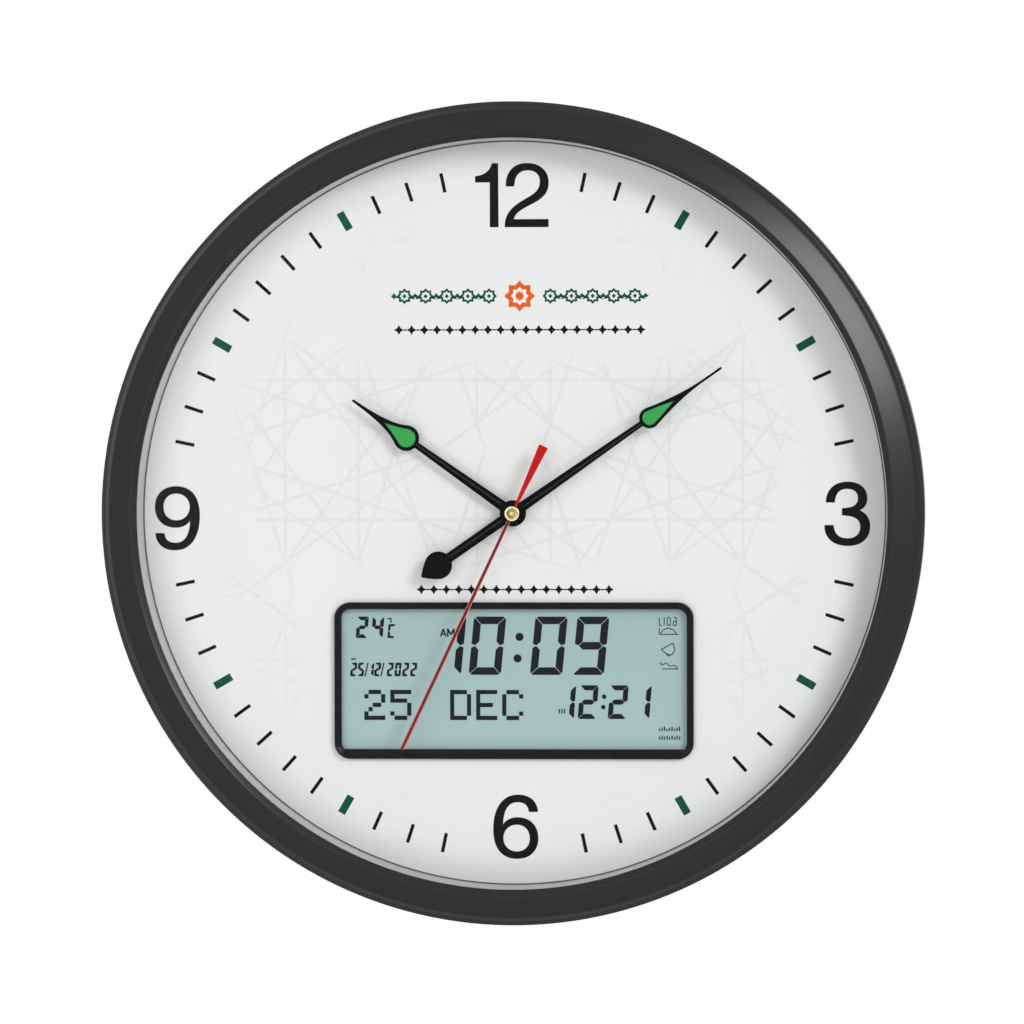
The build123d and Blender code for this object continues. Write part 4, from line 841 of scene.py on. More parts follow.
ONE = pen((0, 51), ((7, 51.5), (15, 55), (16.8, 64)), (22.8, 64), (23.1, 0), (14.8, 0), (14.8, 45), (0, 45))
TWO = pen(
    (1.2, 41),
    ((1.2, 55), (8.5, 64), (22.5, 64)),
    ((35.5, 64), (44, 56), (44, 45)),
    ((44, 33), (36.5, 28), (26.5, 23)),
    ((17.5, 18.5), (9.5, 14), (9, 7.7)),
    (44, 7.8),
    (44, 0.2),
    (0, 0.2),
    ((0.3, 14), (7.5, 20.5), (20.5, 28)),
    ((30.5, 33.5), (35.5, 37), (35.5, 46)),
    ((35.5, 53), (30.5, 57.2), (23, 57.2)),
    ((14.5, 57.2), (9.4, 51), (9.5, 41)),
)
THREE = pen(
    (1.7, 43.5),
    ((1.9, 55.5), (9.9, 64), (23.4, 64)),
    ((34.9, 64), (42.9, 57.5), (42.9, 48)),
    ((42.9, 42), (40.4, 38), (35.2, 35.5)),
    ((41.9, 32.5), (45.7, 27), (45.7, 19.5)),
    ((45.7, 7.5), (36.9, 0), (23.9, 0)),
    ((9.4, 0), (0.4, 7), (0.2, 20.5)),
    (9.2, 20.5),
    ((9.7, 11.5), (14.9, 7.2), (23.4, 7.2)),
    ((31.4, 7.2), (36.2, 12), (36.2, 19)),
    ((36.2, 26.5), (30.4, 30.5), (17.9, 30.5)),
    (17.9, 37.5),
    ((28.9, 37.5), (33.9, 41), (33.9, 47.7)),
    ((33.9, 53.5), (29.9, 57.2), (22.9, 57.2)),
    ((14.4, 57.2), (10.7, 51.5), (10.4, 43.5)),
)
NINE = pen(
    (0.2, 17),
    ((1.2, 6), (8.7, 0), (20.2, 0)),
    ((36.2, 0), (45, 14), (45, 35)),
    ((45, 53), (37.2, 64.2), (21.2, 64.2)),
    ((8.2, 64.2), (0, 56), (0, 43.5)),
    ((0, 31), (8.2, 22.8), (20.7, 22.8)),
    ((27.2, 22.8), (32.2, 25.5), (35.5, 30)),
    ((35.2, 15.5), (30.2, 7.2), (20.7, 7.2)),
    ((13.7, 7.2), (9.7, 10.5), (9.2, 17)),
)
NINE_EYE = pen(
    (8.2, 43.5),
    ((8.2, 52), (13.7, 57.2), (21.5, 57.2)),
    ((29.2, 57.2), (35.2, 51.5), (35.2, 43.5)),
    ((35.2, 35.5), (29.2, 29.8), (21.5, 29.8)),
    ((13.7, 29.8), (8.2, 35.5), (8.2, 43.5)),
    gain=-0.25,
)


def numeral(outlines, centre, width, turn=1):
    """Numeral outlines about a centre on the page; turn -1 turns them upside down."""
    x, y = centre
    unit = turn * NUMERAL_UNIT
    left, middle = width / 2, GRID / 2
    return [[(x + unit * (px - left), y + unit * (py - middle)) for px, py in line] for line in outlines]


def print_on_dial(context, prints):
    """Prints outlines on the dial, each set as a piece of its own with its ink."""
    low = DIAL_FRONT + PRINT_LIFT
    for name, outlines, ink in prints:
        piece = cut_sheet(name, outlines, low, low + context.scene.clock_sizes.print_thickness / MM)
        hang(piece, ink, "dial_white")


class CLOCK_OT_dial_print(bpy.types.Operator):
    """Print the numerals, the minute marks and the green hour marks on the dial"""

    bl_idname = "clock.dial_print"
    bl_label = "Dial Print"

    def execute(self, context):
        sizes = context.scene.clock_sizes
        radius, long = sizes.tick_radius / MM, sizes.tick_length / MM
        tick, hour = bar(sizes.tick_width / MM, long), bar(sizes.hour_mark_width / MM, long)
        # The numerals stand in the places of the quarters and the marks beside them
        minutes = [minute for minute in range(60) if minute % 15 not in (0, 1, 14)]
        ticks = [turned_about(tick, minute * 6, radius) for minute in minutes if minute % 5]
        hours = [turned_about(hour, minute * 6, radius) for minute in minutes if not minute % 5]
        numerals = numeral([ONE, [(x + 29.6, y) for x, y in TWO]], (-0.5, 147.0), 73.6)
        numerals += numeral([THREE], (154.3, -0.4), 46)
        numerals += numeral([NINE, NINE_EYE], (-156.4, -2.4), 45)
        numerals += numeral([NINE, NINE_EYE], (0.7, -145.3), 45, -1)
        prints = ("minute_marks", ticks, "black_ink"), ("numerals", numerals, "black_ink")
        print_on_dial(context, (*prints, ("hour_marks", hours, "green_ink")))
        return {"FINISHED"}


# Middle, half width and half height of what the faint pattern keeps clear of
PATTERN_GAPS = (
    (0, 92, 74, 20),
    (*PANEL_CENTRE, 92, 48),
    (0, 148, 46, 34),
    (0, -146, 34, 30),
    (-156, 0, 32, 26),
    (156, 0, 32, 26),
)


def clamped(value):
    """Value held between 0 and 1."""
    return min(1.0, max(0.0, value))


def pattern_strength(x, y):
    """How strongly the faint pattern is printed at a place on the page, from 0 to 1."""
    edge, fade, gap_fade = 146, 26, 0.25
    strength = clamped((edge - hypot(x, y)) / fade)
    for cx, cy, half_width, half_height in PATTERN_GAPS:
        reach = max(abs(x - cx) / half_width, abs(y - cy) / half_height)
        strength = min(strength, clamped((reach - 1.0) / gap_fade))
    return strength


def star_lines(cx, cy, reach):
    """Lines of a ten-pointed star whose points run on into the gaps between the stars."""
    middle = Vector((cx, cy))
    tips = [middle + reach * Vector((cos(radians(36 * tip)), sin(radians(36 * tip)))) for tip in range(10)]
    lines = []
    for skip, run_on in ((3, 0.14), (4, 0.02)):
        for index, start in enumerate(tips):
            end = tips[(index + skip) % 10]
            spare = (end - start) * run_on
            lines.append((start - spare, end + spare))
    return lines


def stretches(lines, size):
    """Cuts lines into stretches on steps that parallel lines share, so that what coincides is kept once."""
    kept = {}
    for start, end in lines:
        heading = (end - start).normalized()
        if heading.x < -0.001 or (abs(heading.x) < 0.001 and heading.y < 0):
            heading = -heading
        side = Vector((-heading.y, heading.x))
        offset = start.dot(side)
        first, last = sorted((start.dot(heading), end.dot(heading)))
        for step in range(floor(first / size), ceil(last / size)):
            a, b = max(first, step * size), min(last, (step + 1) * size)
            place = (round(heading.x, 2), round(heading.y, 2), round(offset), step)
            if b - a > 0.4 * size or place not in kept:
                kept[place] = (side * offset + heading * a, side * offset + heading * b)
    return kept.values()


class CLOCK_OT_dial_pattern(bpy.types.Operator):
    """Print the faint pattern of ten-pointed stars on the dial"""

    bl_idname = "clock.dial_pattern"
    bl_label = "Dial Pattern"

    def execute(self, context):
        # Stars stand in columns, and every second column is half a pitch higher
        column_pitch, half_pitch, middle = 89.1, 64.7, 29.2
        width, size, faintest = 1.5, 6, 0.15
        lines = []
        for column in range(-2, 3):
            for row in range(-3, 3):
                y = middle + (2 * row + 1 - column % 2) * half_pitch
                lines += star_lines(column * column_pitch, y, hypot(column_pitch, half_pitch) / 2)
        shades = ([], [], [])
        for start, end in stretches(lines, size):
            strength = pattern_strength(*((start + end) / 2))
            if strength > faintest:
                shades[min(2, int(strength * 3))].append((start, end))
        for level, stretch in enumerate(shades):
            tint = [part * (0.98 - 0.025 * level) for part in context.scene.clock_colours.dial]
            name = f"pattern_{level}"
            finish(name, f"Pattern ink {level}", tint, 0.55, 1500, 0.002, 0.02, 0.04, 0, level=0.2)
            hang(ribbons(name, stretch, width, DIAL_FRONT + PATTERN_LIFT), name, "dial_white")
        return {"FINISHED"}


class CLOCK_OT_dial_ornament(bpy.types.Operator):
    """Print plain ornament above the hands and above the display"""

    bl_idname = "clock.dial_ornament"
    bl_label = "Dial Ornament"

    def execute(self, context):
        x, y = middle = (3.0, 100.4)
        emblem = [star(8, 7.2, 5.3, middle), star(8, 4.3, 3.2, middle)]
        greens, blacks = [], []
        for side in (-1, 1):
            for index in range(5):
                place = (x + side * (14.2 + 9.8 * index), y)
                greens += [star(8, 3.7, 2.75, place), star(8, 2.3, 1.7, place), star(4, 1.1, 0.7, place)]
                greens.append(star(4, 1.5, 0.9, (place[0] + side * 4.9, y)))
        # Two rows of small stars with a dash between neighbours: middle, pitch and count
        for row_x, row_y, pitch, count in ((3.0, 84.8, 5.9, 20), (0.6, -35.4, 5.8, 16)):
            for index in range(count):
                place = row_x + (index - (count - 1) / 2) * pitch
                blacks.append(star(4, 2.3, 1.15, (place, row_y)))
                if index:
                    blacks.append(bar(1.5, 0.6, place - pitch / 2, row_y))
        prints = (
            ("ornament_star", emblem, "orange_ink"),
            ("ornament_middle", [star(8, 2.2, 1.65, middle)], "orange_ink"),
            ("ornament_green", greens, "green_ink"),
            ("ornament_black", blacks, "black_ink"),
        )
        print_on_dial(context, prints)
        return {"FINISHED"}


# ---------------------------------------------------------------- display segments

SEGMENTS = {"0": "abcdef", "1": "bc", "2": "abged", "4": "fgbc", "5": "afgcd", "9": "abcdfg", "C": "afed"}
DOTS = {
    "2": ("01110", "10001", "00001", "00110", "01000", "10000", "11111"),
    "5": ("11111", "10000", "11110", "00001", "00001", "10001", "01110"),
    "D": ("11110", "10001", "10001", "10001", "10001", "10001", "11110"),
    "E": ("11111", "10000", "10000", "11110", "10000", "10000", "11111"),
    "C": ("01110", "10001", "10000", "10000", "10000", "10001", "01110"),
}

# Signs with their left edges, and widths where they differ
LARGE_TIME = (("1", -38.3, 13.6), ("0", -21.2, 15.0), ("0", 7.3, 15.0), ("9", 26.8, 14.8))
SMALL_TIME = (("1", 19.2, 8.4), ("2", 29.4, 8.6), ("2", 43.3, 8.6), ("1", 54.6, 8.0))
TEMPERATURE = (("2", -73.7, 5.4), ("4", -66.5, 5.4))
DATE = "25/12/2022"
DATE_EDGES = (-76.3, -72.9, -69.6, -68.4, -65.2, -62.2, -59.3, -55.7, -52.1, -48.4)
DAY_AND_MONTH = (("2", -69.7), ("5", -57.6), ("D", -29.8), ("E", -17.7), ("C", -5.6))

# Paths of the half-day sign, and of the small signs at the right: bars over a dome, a bell and a lamp
HALF_DAY = (
    ((-34.2, 20.3), (-32.9, 23.9), (-31.6, 20.3)),
    ((-33.8, 21.5), (-32.0, 21.5)),
    ((-30.8, 20.2), (-30.8, 24.1)),
    ((-30.8, 23.8), (-29.4, 21.2), (-28.0, 23.8)),
    ((-28.0, 20.2), (-28.0, 24.1)),
)
SMALL_SIGNS = (
    ((67.3, 29.2), (67.3, 25.6), (68.6, 25.6)),
    ((69.6, 29.2), (69.6, 25.6)),
    ((71.0, 29.2), (72.4, 29.2), (72.4, 25.6), (71.0, 25.6), (71.0, 29.2)),
    ((73.8, 29.2), (75.2, 29.2), (75.2, 25.6), (73.8, 25.6), (73.8, 27.4), (75.2, 27.4)),
    ((67.3, 24.4), (67.3, 21.4), (76.2, 21.4)),
    ((67.9, 21.8), (69.2, 23.6), (71.2, 24.3), (73.6, 23.7), (75.2, 21.8)),
    ((68.2, 14.4), (73.6, 17.4), (74.6, 14.2), (73.0, 11.8), (70.6, 12.4), (68.2, 14.4)),
    ((70.6, 12.4), (71.2, 11.4), (72.2, 11.6)),
    ((67.4, 8.4), (68.8, 7.2), (70.4, 8.2), (72.4, 6.6), (74.2, 7.2), (76.0, 5.4), (68.6, 5.4)),
)


def segment_digit(sign, x, y, width, height, t, gap, lean):
    """Outlines of a seven-segment sign whose lower left corner is at (x, y); t is its stroke."""
    half, edge, g = height / 2, 0.3 * t, gap / 2
    top = [
        (edge + g, height),
        (width - edge - g, height),
        (width - edge / 2 - g, height - edge / 2),
        (width - t - g, height - t),
        (t + g, height - t),
        (edge / 2 + g, height - edge / 2),
    ]
    right = [
        (width, height - edge - g),
        (width - edge / 2, height - edge / 2 - g),
        (width - t, height - t - g),
        (width - t, half + t / 2 + g),
        (width - t / 2, half + g),
        (width, half + t / 5 + g),
    ]
    middle = [
        (t / 2 + g, half),
        (t + g, half + t / 2),
        (width - t - g, half + t / 2),
        (width - t / 2 - g, half),
        (width - t - g, half - t / 2),
        (t + g, half - t / 2),
    ]
    shapes = {
        "a": top,
        "b": right,
        "c": [(px, height - py) for px, py in right],
        "d": [(px, height - py) for px, py in top],
        "e": [(width - px, height - py) for px, py in right],
        "f": [(width - px, py) for px, py in right],
        "g": middle,
    }
    slope = tan(radians(lean))
    return [[(x + px + py * slope, y + py) for px, py in shapes[letter]] for letter in SEGMENTS[sign]]


def segment_row(signs, base, height, thick, gap, lean):
    """Outlines of a row of seven-segment signs."""
    row = []
    for sign, x, width in signs:
        row += segment_digit(sign, x, base, width, height, thick, gap, lean)
    return row


def dot_letter(sign, x, y, width, height):
    """Squares of a five by seven dot letter whose lower left corner is at (x, y)."""
    wide, tall = width / 5, height / 7
    squares = []
    for row, line in enumerate(DOTS[sign]):
        for column, lit in enumerate(line):
            if lit == "1":
                place = (x + (column + 0.5) * wide, y + height - (row + 0.5) * tall)
                squares.append(bar(wide * 0.995, tall * 0.99, *place))
    return squares


def legs(paths):
    """Straight lines between the neighbouring points of each path."""
    return [leg for path in paths for leg in zip(path, path[1:])]


def on_panel(outlines):
    """Outlines moved from the panel's middle to the page."""
    cx, cy = PANEL_CENTRE
    return [[(x + cx, y + cy) for x, y in outline] for outline in outlines]


class CLOCK_OT_display_segments(bpy.types.Operator):
    """Draw what the display shows: time, date, temperature and small signs"""

    bl_idname = "clock.display_segments"
    bl_label = "Display Segments"

    def execute(self, context):
        gap = context.scene.clock_sizes.segment_gap / MM
        lit = segment_row(LARGE_TIME, 2.6, 27.0, 3.5, gap, 5.6)
        lit += [disc(1.6, 10.2, 1.9), disc(2.5, 20.2, 1.9)]
        lit += segment_row(SMALL_TIME, -17.8, 15.6, 2.35, gap * 0.6, 4.5)
        lit += [disc(41.3, -12.3, 1.05), disc(41.7, -7.5, 1.05)]
        lit += segment_row(TEMPERATURE, 19.6, 10.0, 1.75, 0.16, 5.0)
        lit += segment_row([("C", -58.9, 3.5)], 19.6, 6.5, 1.1, 0.05, 5.0)
        lit += [bar(2.1, 0.6, -57.8, 28.6), bar(0.7, 1.3, -57.2, 27.4)]
        for sign, x in zip(DATE, DATE_EDGES):
            if sign == "/":
                lit.append(stroke((x + 0.3, 1.9), (x + 1.7, 8.2), 0.62))
            else:
                lit += segment_digit(sign, x, 1.9, 2.9, 6.3, 1.12, 0.05, 5.0)
        for sign, x in DAY_AND_MONTH:
            lit += dot_letter(sign, x, -18.4, 9.8, 14.0)
        ticks = []
        for index in range(9):
            x = 67.4 + 1.15 * index
            ticks.append(((x, -23.4), (x, -22.2 + 0.45 * (index % 3))))
            ticks.append(((x, -27.4), (x, -25.9 + 0.4 * (index % 2))))
        for x, pitch, low, high in ((20.9, 1.2, -15.3, -13.2), (-75.4, 0.8, 9.4, 10.3)):
            ticks += [((x + pitch * index, low), (x + pitch * index, high)) for index in range(3)]
        for name, lines, width, ink in (
            ("clear_signs", legs(HALF_DAY), 0.72, "segment_ink"),
            ("small_signs", legs(SMALL_SIGNS), 0.46, "faint_segment"),
            ("fine_ticks", ticks, 0.62, "faint_segment"),
        ):
            hang(ribbons(name, on_panel(lines), width, PANEL_FRONT + 0.03), ink, "lcd_glass")
        segments = cut_sheet("segments", on_panel(lit), PANEL_FRONT + PRINT_LIFT, PANEL_FRONT + 0.05)
        hang(segments, "segment_ink", "lcd_glass")
        return {"FINISHED"}


# ---------------------------------------------------------------- hands


def drop_half(middle, radius, rise, leave, arrive, needle, tip):
    """Upper half of a drop: a round back up to the angle rise, then a hollow flank into a tapering needle."""
    points = arc(middle, 0, radius, 180, rise, 14)
    points += flow(points[-1], leave, arrive, needle, 12)
    return points + [(tip - 0.5, 0.55), (tip - 0.15, 0.4), (tip, 0)]


def pane_half(middle, radius, rise, leave, arrive, tip):
    """Upper half of the pane in a drop."""
    points = arc(middle, 0, radius, 180, rise, 14)
    return points + flow(points[-1], leave, arrive, (tip, 0), 8)


def set_hand(name, parts, heading, look, body, *nodes):
    """Joins the parts of a hand, turns it to its clock angle and hangs it on its body."""
    whole = join(name, *parts)
    soften(whole, 50)
    place_on_page(whole, turn=pi / 2 - radians(heading))
    slot = "hand_black" if look == "hand_crest" else look
    hang(whole, look, slot, *nodes, body=body)


def make_black_hand(body, heading, drop, pane, hub, bars, crest_highlights, leaf=None):
    """Makes a black hand with its pierced drop, green pane, hub and roofed bars, with a light strip of
    painted highlight along each bar's crest.
    """
    low, high = heights(f"{body}_hand")
    rise = 0.35
    drop, pane = mirrored(drop_half(*drop)), mirrored(pane_half(*pane))
    blade = cut_sheet(f"{body}_blade", [drop, pane], low, high, 0.16, 3)
    hub = cut_sheet(f"{body}_hub", [disc(0, 0, radius, 60) for radius in hub], low, high, 0.2, 3)
    parts = [roof_bar(f"{body}_bar", *ends, low, high + rise, 0.3) for ends in bars]
    for part in parts:
        bevelled(part, 0.25, 3)
    if leaf:
        parts.append(cut_sheet(f"{body}_leaf", [leaf], low, high, 0.3, 3))
    set_hand(f"{body}_hand_black", [*parts, hub, blade], heading, "hand_black", body, f"{body}_hand")
    glass = cut_sheet(f"{body}_pane", [pane], low, high - 0.12)
    set_hand(f"{body}_pane", [glass], heading, "pane_green", body, f"{body}_insert")
    # Each bar's crest gets a light strip of painted highlight.
    line = ribbons(f"{body}_crest", crest_highlights, 0.5, high + rise + 0.01)
    set_hand(f"{body}_crest", [line], heading, "hand_crest", body)


class CLOCK_OT_hour_hand(bpy.types.Operator):
    """Make the hour hand with its ridge, pierced drop and green pane"""

    bl_idname = "clock.hour_hand"
    bl_label = "Hour Hand"

    def execute(self, context):
        make_black_hand(
            "hour",
            HOUR_ANGLE,
            drop=(60.4, 5.95, 63, (67.6, 2.4), (74.8, 1.35), (83.2, 0.82), 91.0),
            pane=(60.4, 4.25, 63, (64.9, 2.5), (69.8, 0.75), 72.6),
            hub=(6.1, 2.55),
            bars=[(4.6, 55.8, 2.55, 1.62)],
            crest_highlights=[((7.0, -0.3), (55.0, -0.2))],
        )
        return {"FINISHED"}


class CLOCK_OT_minute_hand(bpy.types.Operator):
    """Make the minute hand with its ridge, pierced drop, green pane and leaf-shaped tail"""

    bl_idname = "clock.minute_hand"
    bl_label = "Minute Hand"

    def execute(self, context):
        back = arc(-41.9, 0, 6.4, 0, 125, 16)
        x, y = back[-1]
        flank = flow((x, y), (x - 2.8, y - 1.9), (-49.9, 2.0), (-51.6, 0), 8)
        make_black_hand(
            "minute",
            MINUTE_ANGLE,
            drop=(77.2, 4.8, 76, (88.1, 2.2), (97.3, 0.8), (105.6, 0.54), 117.8),
            pane=(77.3, 3.3, 78, (82.2, 2.4), (87.2, 0.95), 90.9),
            hub=(4.8, 1.65),
            bars=[(3.6, 73.4, 2.5, 1.42), (-37.4, -3.6, 2.4, 2.5)],
            crest_highlights=[((5.5, -0.3), (72.6, -0.2)), ((-36.0, 0.3), (-5.5, 0.3))],
            leaf=mirrored(back + flank),
        )
        return {"FINISHED"}


class CLOCK_OT_second_hand(bpy.types.Operator):
    """Make the red second hand with its wedge tail, and the brass cap on it"""

    bl_idname = "clock.second_hand"
    bl_label = "Second Hand"

    def execute(self, context):
        low, high = heights("second_hand")
        needle = roof_bar("second_needle", 1.8, 120.4, 0.78, 1.0, low, high, 0.4)
        tail = roof_bar("second_tail", -34.4, -1.8, 2.3, 0.5, low, high, 0.8)
        hub = cut_sheet("second_hub", [disc(0, 0, 2.2, 44), disc(0, 0, 1.05, 44)], low, high, 0.15, 2)
        bevelled(tail, 0.12, 2)
        set_hand("second_hand_red", [needle, tail, hub], SECOND_ANGLE, "hand_red", "second", "second_hand")
        top = heights("second_cap")[1]
        profile = [(1.0, high - 1.2, 0), (1.0, high, 0), (2.9, high, 0), (3.4, high + 0.4, 0.2)]
        profile += [(3.4, top - 0.15, 0.3), (2.85, top, 0.12), (2.45, top - 0.45, 0.2)]
        profile += [(1.2, top - 0.6, 0.3), (0.75, top - 0.15, 0.2), (0.2, top - 0.1, 0)]
        cap = turned("brass_cap", rounded(profile, 4), 64, capped=True)
        hang(cap, "brass", "brass", "second_cap", body="second", smooth=40)
        return {"FINISHED"}


# ---------------------------------------------------------------- back of the clock


class CLOCK_OT_push_buttons(bpy.types.Operator):
    """Make the six push buttons with domed, rounded caps"""

    bl_idname = "clock.push_buttons"
    bl_label = "Push Buttons"

    def execute(self, context):
        low, high = heights("mode_button")
        foot, core, rim = low + 3.9, 0.4, 3.5
        profile = rounded([(core, low, 0), (rim, low + 0.15, 0.7), (rim, foot, 0), (core, foot, 0)], 5)
        cap = turned("button_pattern", profile, 48, capped=True)
        flange = cut_sheet("button_flange", [bar(9, 9)], foot - 0.05, foot + 0.95, 0.2, 2)
        stem = cut_sheet("button_stem", [bar(3, 3)], low + 4.8, high, 0.2, 2)
        pattern = join("button_pattern", flange, stem, cap)
        for key in ("mode", "set", "up", "down", "volume", "light"):
            button = copy_of(pattern)
            button.name = f"{key}_push_button"
            place_on_page(button, *page_centre(f"{key}_button"))
            hang(button, "button_grey", "button_grey", f"{key}_button", body=f"{key}_key", smooth=35)
        bpy.data.objects.remove(pattern)
        return {"FINISHED"}


class CLOCK_OT_cover_screws(bpy.types.Operator):
    """Make the pan-head screws of the cover with their cross recesses"""

    bl_idname = "clock.cover_screws"
    bl_label = "Cover Screws"

    def execute(self, context):
        low, high = heights("cover_screws")
        head = 3.1
        circle = page_size("cover_screws")[0] / 2 - head
        corners = [(0.3, low, 0), (2.4, low + 0.15, 1.2), (head, low + 1.2, 0.4), (head, low + 2.0, 0)]
        profile = rounded([*corners, (1.5, low + 2.0, 0)], 4) + [(1.5, high - 0.8), (0.5, high)]
        screw = turned("screw_pattern", profile, 40, capped=True)
        slots = [cut_sheet("cross", [bar(*size)], low - 0.5, low + 1.1) for size in ((3.2, 0.7), (0.7, 3.2))]
        cross = join("cross", *slots)
        pick(screw)
        cutter = screw.modifiers.new("Cross recess", "BOOLEAN")
        cutter.operation = "DIFFERENCE"
        cutter.solver = "EXACT"
        cutter.use_self = True
        cutter.object = cross
        bpy.ops.object.modifier_apply(modifier=cutter.name)
        bpy.data.objects.remove(cross)
        copies = []
        for quarter in range(4):
            copies.append(copy_of(screw))
            way = quarter * pi / 2
            place_on_page(copies[-1], circle * cos(way), circle * sin(way), 0, 0.35 + 1.1 * quarter)
        bpy.data.objects.remove(screw)
        hang(join("cross_head_screws", *copies), "steel", "steel", "cover_screws", smooth=35)
        return {"FINISHED"}


class CLOCK_OT_dry_cells(bpy.types.Operator):
    """Make the three dry cells with their crimped metal ends"""

    bl_idname = "clock.dry_cells"
    bl_label = "Dry Cells"

    def execute(self, context):
        # facing is the side of the nub: 1 towards the right, -1 towards the left
        for place, facing in (("lower", 1), ("upper", -1), ("movement", -1)):
            cell = f"{place}_cell"
            low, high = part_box(cell)
            middle = (low + high) / 2
            half = (high.x - low.x) / MM / 2
            lap, radius, foot, top = 5.6, 7.1, 0.35 - half, half - 1.4
            wrap = [(lap, foot, 0), (radius, foot, 0.6), (radius, top, 0.6), (lap, top, 0)]
            look = f"{cell}_sleeve"
            sleeve = turned(look, rounded(wrap, 4), 56)
            core, pad, nub, tuck, foot, top = 0.5, 4.6, 2.7, 5.9, 0.4 - half, half - 1.5
            crimp = [(core, -half, 0), (pad, -half, 0.3), (pad + 0.3, foot, 0.2), (tuck, foot, 0)]
            crimp += [(tuck, top, 0), (nub + 0.3, top, 0.3), (nub, half, 0.35), (core, half, 0)]
            ends = turned(f"{cell}_ends", rounded(crimp, 3), 56, capped=True)
            finish(look, f"Sleeve of {cell}", SLEEVE, *SLEEVE_SURFACE, sleeve_paint(middle.x, facing))
            for piece, made, nodes in ((sleeve, look, [cell]), (ends, "sleeve_metal", [])):
                soften(piece, 35)
                piece.rotation_euler = (0, facing * pi / 2, 0)
                piece.location = middle
                settle(piece)
                dress(piece, made, "cell_sleeve", *nodes, body=f"{place}_battery")
        return {"FINISHED"}


class CLOCK_OT_cover_details(bpy.types.Operator):
    """Add the pull on the battery door and the flutes of the setting knob"""

    bl_idname = "clock.cover_details"
    bl_label = "Cover Details"

    def execute(self, context):
        (x, y), back = page_centre("battery_door"), heights("battery_door")[0]
        foot = y - page_size("battery_door")[1] / 2 + 5
        ribs = [bar(14 - 1.6 * index, 0.8, x, foot + 1.8 * index) for index in range(5)]
        pull = cut_sheet("door_pull", ribs, back - 0.45, back + 0.2, 0.15, 2)
        hang(pull, "cover_plastic", "cover_plastic", body="door", smooth=35)
        low, high = heights("setting_knob")
        outline = []
        for turn in (radians(step) for step in range(0, 360, 2)):
            radius = 5.55 + 0.42 * cos(18 * turn)
            outline.append((radius * cos(turn), radius * sin(turn)))
        head = cut_sheet("knob_head", [outline], low, low + 2.6, 0.3, 3)
        arbor = turned("knob_arbor", [(0.9, low + 2.0), (0.9, high)], 32, capped=True)
        knob = join("setting_knob_fluted", arbor, head)
        place_on_page(knob, *page_centre("setting_knob"))
        hang(knob, "black_plastic", "black_plastic", "setting_knob", body="motion", smooth=40)
        return {"FINISHED"}


# ---------------------------------------------------------------- stage

# What the camera and the lamps look at, and the share of the view's width that the clock's radius takes
CAMERA_AIM = (0.00035, -0.0386, AXIS_Z + 0.0009)
LAMP_AIM = (0, -0.03, AXIS_Z)
RADIUS_SHARE = 412.5 / 1024
SENSOR = 36.0

# Strength of the soft light from all round
SOFT_LIGHT = 0.50

# The floor in metres: how far it lies below the clock, its radius, and where it turns into plain white
FLOOR_DROP = 0.9
FLOOR_RADIUS = 3.0
PALE_TO, WHITE_FROM = 0.35, 1.2

# Direction from the clock, distance and size in metres, and power in watts of each lamp
LAMPS = {
    "key_lamp": ((0.574, -0.729, 0.373), 5.0, (1.7, 1.7), 105.0),
    "fill_lamp": ((-0.38, -0.91, 0.15), 1.35, (0.7, 0.7), 3.5),
    "low_lamp": ((-0.04, -0.905, -0.42), 1.35, (1.2, 0.6), 2.2),
    "back_lamp": ((0.25, 0.85, 0.45), 1.9, (1.0, 1.0), 16.0),
}


def soft_box(name, direction, distance, size, power):
    """Rectangular lamp that looks at the clock from a direction."""
    towards = Vector(direction).normalized()
    pick()
    bpy.ops.object.light_add(type="AREA", location=Vector(LAMP_AIM) + towards * distance)
    lamp = bpy.context.object
    lamp.name = name
    lamp.data.shape = "RECTANGLE"
    lamp.data.size, lamp.data.size_y = size
    lamp.data.energy = power
    lamp.rotation_euler = towards.to_track_quat("Z", "Y").to_euler()


def add_camera(sizes):
    """Adds the camera and gives it."""
    turn, rise = sizes.camera_turn, sizes.camera_rise
    back = Vector((sin(turn) * cos(rise), -cos(turn) * cos(rise), sin(rise)))
    pick()
    bpy.ops.object.camera_add(location=Vector(CAMERA_AIM) + back * sizes.camera_distance)
    camera = bpy.context.object
    camera.name = "camera_front"
    roll = Quaternion((0, 0, 1), sizes.camera_roll)
    camera.rotation_euler = (back.to_track_quat("Z", "Y") @ roll).to_euler()
    camera.data.sensor_width = SENSOR
    camera.data.lens = RADIUS_SHARE * SENSOR * sizes.camera_distance / (CLOCK_RADIUS * MM)
    camera.data.clip_end = 50.0
    return camera


def seen_or_mirrored(tree):
    """1 for what the camera sees directly, mirrored or through glass, and 0 for light on the clock."""
    path = tree.nodes.new("ShaderNodeLightPath").outputs
    seen = maths(tree, "MAXIMUM", path["Is Camera Ray"], path["Is Glossy Ray"])
    return maths(tree, "MAXIMUM", seen, path["Is Transmission Ray"])


def mix_to_output(tree, output, share, first, second):
    """Mixes two shaders by a share into the output node."""
    mix = node(tree, "MixShader", share, first, second)
    tree.links.new(mix, tree.nodes[output].inputs["Surface"])


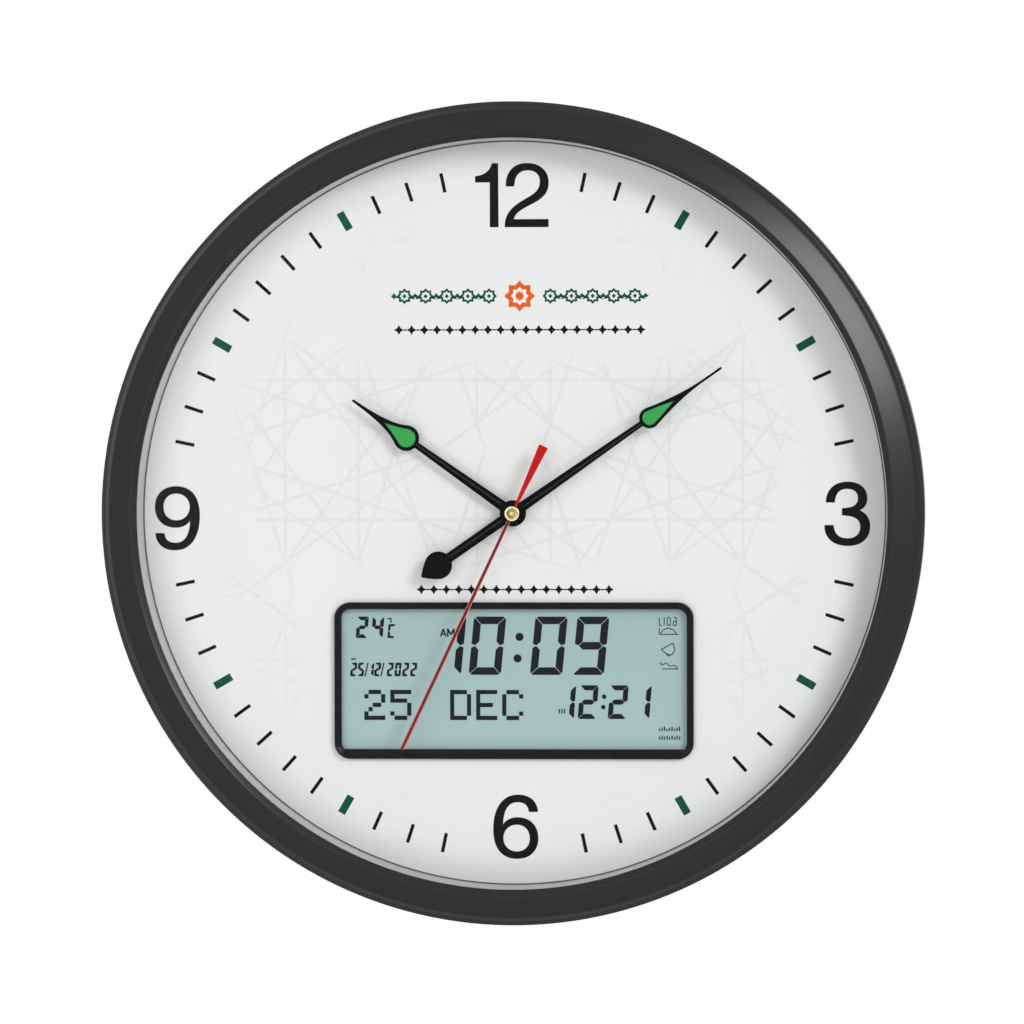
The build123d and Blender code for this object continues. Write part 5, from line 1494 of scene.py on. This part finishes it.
def floor_material():
    """Pale floor that keeps shadows near the clock and runs out into the white surroundings."""
    made = bpy.data.materials.new("Pale floor")
    made.use_nodes = True
    tree = made.node_tree
    shader = tree.nodes["Principled BSDF"]
    coordinates = node(tree, "TexCoord", output="Object")
    tone = spread(tree, noise(tree, coordinates, 3.0), 0.3, 0.7, 0.86, 0.9)
    feed(tree, shader.inputs["Base Color"], mixed(tree, 1.0, (1, 1, 1), tone, "MULTIPLY"))
    shader.inputs["Roughness"].default_value = 0.85
    shader.inputs["Specular IOR Level"].default_value = 0.1
    far = reach_of(tree, axis_of(tree, coordinates, "X"), axis_of(tree, coordinates, "Y"))
    share = maths(tree, "MULTIPLY", spread(tree, far, PALE_TO, WHITE_FROM), seen_or_mirrored(tree))
    mix_to_output(tree, "Material Output", share, shader.outputs[0], node(tree, "Emission"))
    return made


def white_surroundings(scene):
    """White where it is seen or mirrored, and plain soft light elsewhere."""
    scene.world = bpy.data.worlds.new("Studio")
    scene.world.use_nodes = True
    tree = scene.world.node_tree
    light = tree.nodes["Background"]
    feed(tree, light.inputs["Color"], (1, 1, 1))
    feed(tree, light.inputs["Strength"], SOFT_LIGHT)
    white = node(tree, "Background", (1, 1, 1), 1.0)
    mix_to_output(tree, "World Output", seen_or_mirrored(tree), light.outputs[0], white)
    scene.view_settings.view_transform = "Standard"


class CLOCK_OT_stage(bpy.types.Operator):
    """Set the camera, the lamps, the pale floor and the white surroundings"""

    bl_idname = "clock.stage"
    bl_label = "Stage"

    def execute(self, context):
        context.scene.camera = add_camera(context.scene.clock_sizes)
        for name, values in LAMPS.items():
            soft_box(name, *values)
        bpy.ops.mesh.primitive_circle_add(
            vertices=96,
            radius=FLOOR_RADIUS,
            fill_type="TRIFAN",
            location=(0, 0, AXIS_Z - CLOCK_RADIUS * MM - FLOOR_DROP),
        )
        plane = bpy.context.object
        plane.name = "floor"
        settle(plane)
        plane.data.materials.append(floor_material())
        white_surroundings(context.scene)
        return {"FINISHED"}


# ---------------------------------------------------------------- panel and registration

STEPS = (
    CLOCK_OT_finishes,
    CLOCK_OT_frame_ring,
    CLOCK_OT_spacer_ring,
    CLOCK_OT_panel_bezel,
    CLOCK_OT_dial_print,
    CLOCK_OT_dial_pattern,
    CLOCK_OT_dial_ornament,
    CLOCK_OT_display_segments,
    CLOCK_OT_hour_hand,
    CLOCK_OT_minute_hand,
    CLOCK_OT_second_hand,
    CLOCK_OT_push_buttons,
    CLOCK_OT_cover_screws,
    CLOCK_OT_dry_cells,
    CLOCK_OT_cover_details,
    CLOCK_OT_stage,
)


class CLOCK_PT_panel(bpy.types.Panel):
    """Lists the clock's pieces and what can be changed on them"""

    bl_idname = "CLOCK_PT_panel"
    bl_label = "Round Wall Clock"
    bl_space_type = "VIEW_3D"
    bl_region_type = "UI"
    bl_category = "Wall Clock"

    def draw(self, context):
        for group in (context.scene.clock_sizes, context.scene.clock_colours):
            for label in group.__annotations__:
                self.layout.prop(group, label)
        for step in STEPS:
            self.layout.operator(step.bl_idname)


CLASSES = (ClockSizes, ClockColours, *STEPS, CLOCK_PT_panel)


def register():
    """Registers the classes and the two property groups."""
    for part in CLASSES:
        bpy.utils.register_class(part)
    bpy.types.Scene.clock_sizes = PointerProperty(type=ClockSizes)
    bpy.types.Scene.clock_colours = PointerProperty(type=ClockColours)


def unregister():
    """Takes the property groups and the classes away again."""
    del bpy.types.Scene.clock_colours
    del bpy.types.Scene.clock_sizes
    for part in reversed(CLASSES):
        bpy.utils.unregister_class(part)


def main():
    """Builds every piece in order."""
    register()
    for step in STEPS:
        getattr(bpy.ops.clock, step.bl_idname.split(".")[1])()
    pick()
    bpy.context.view_layer.update()


if __name__ == "__main__":
    main()
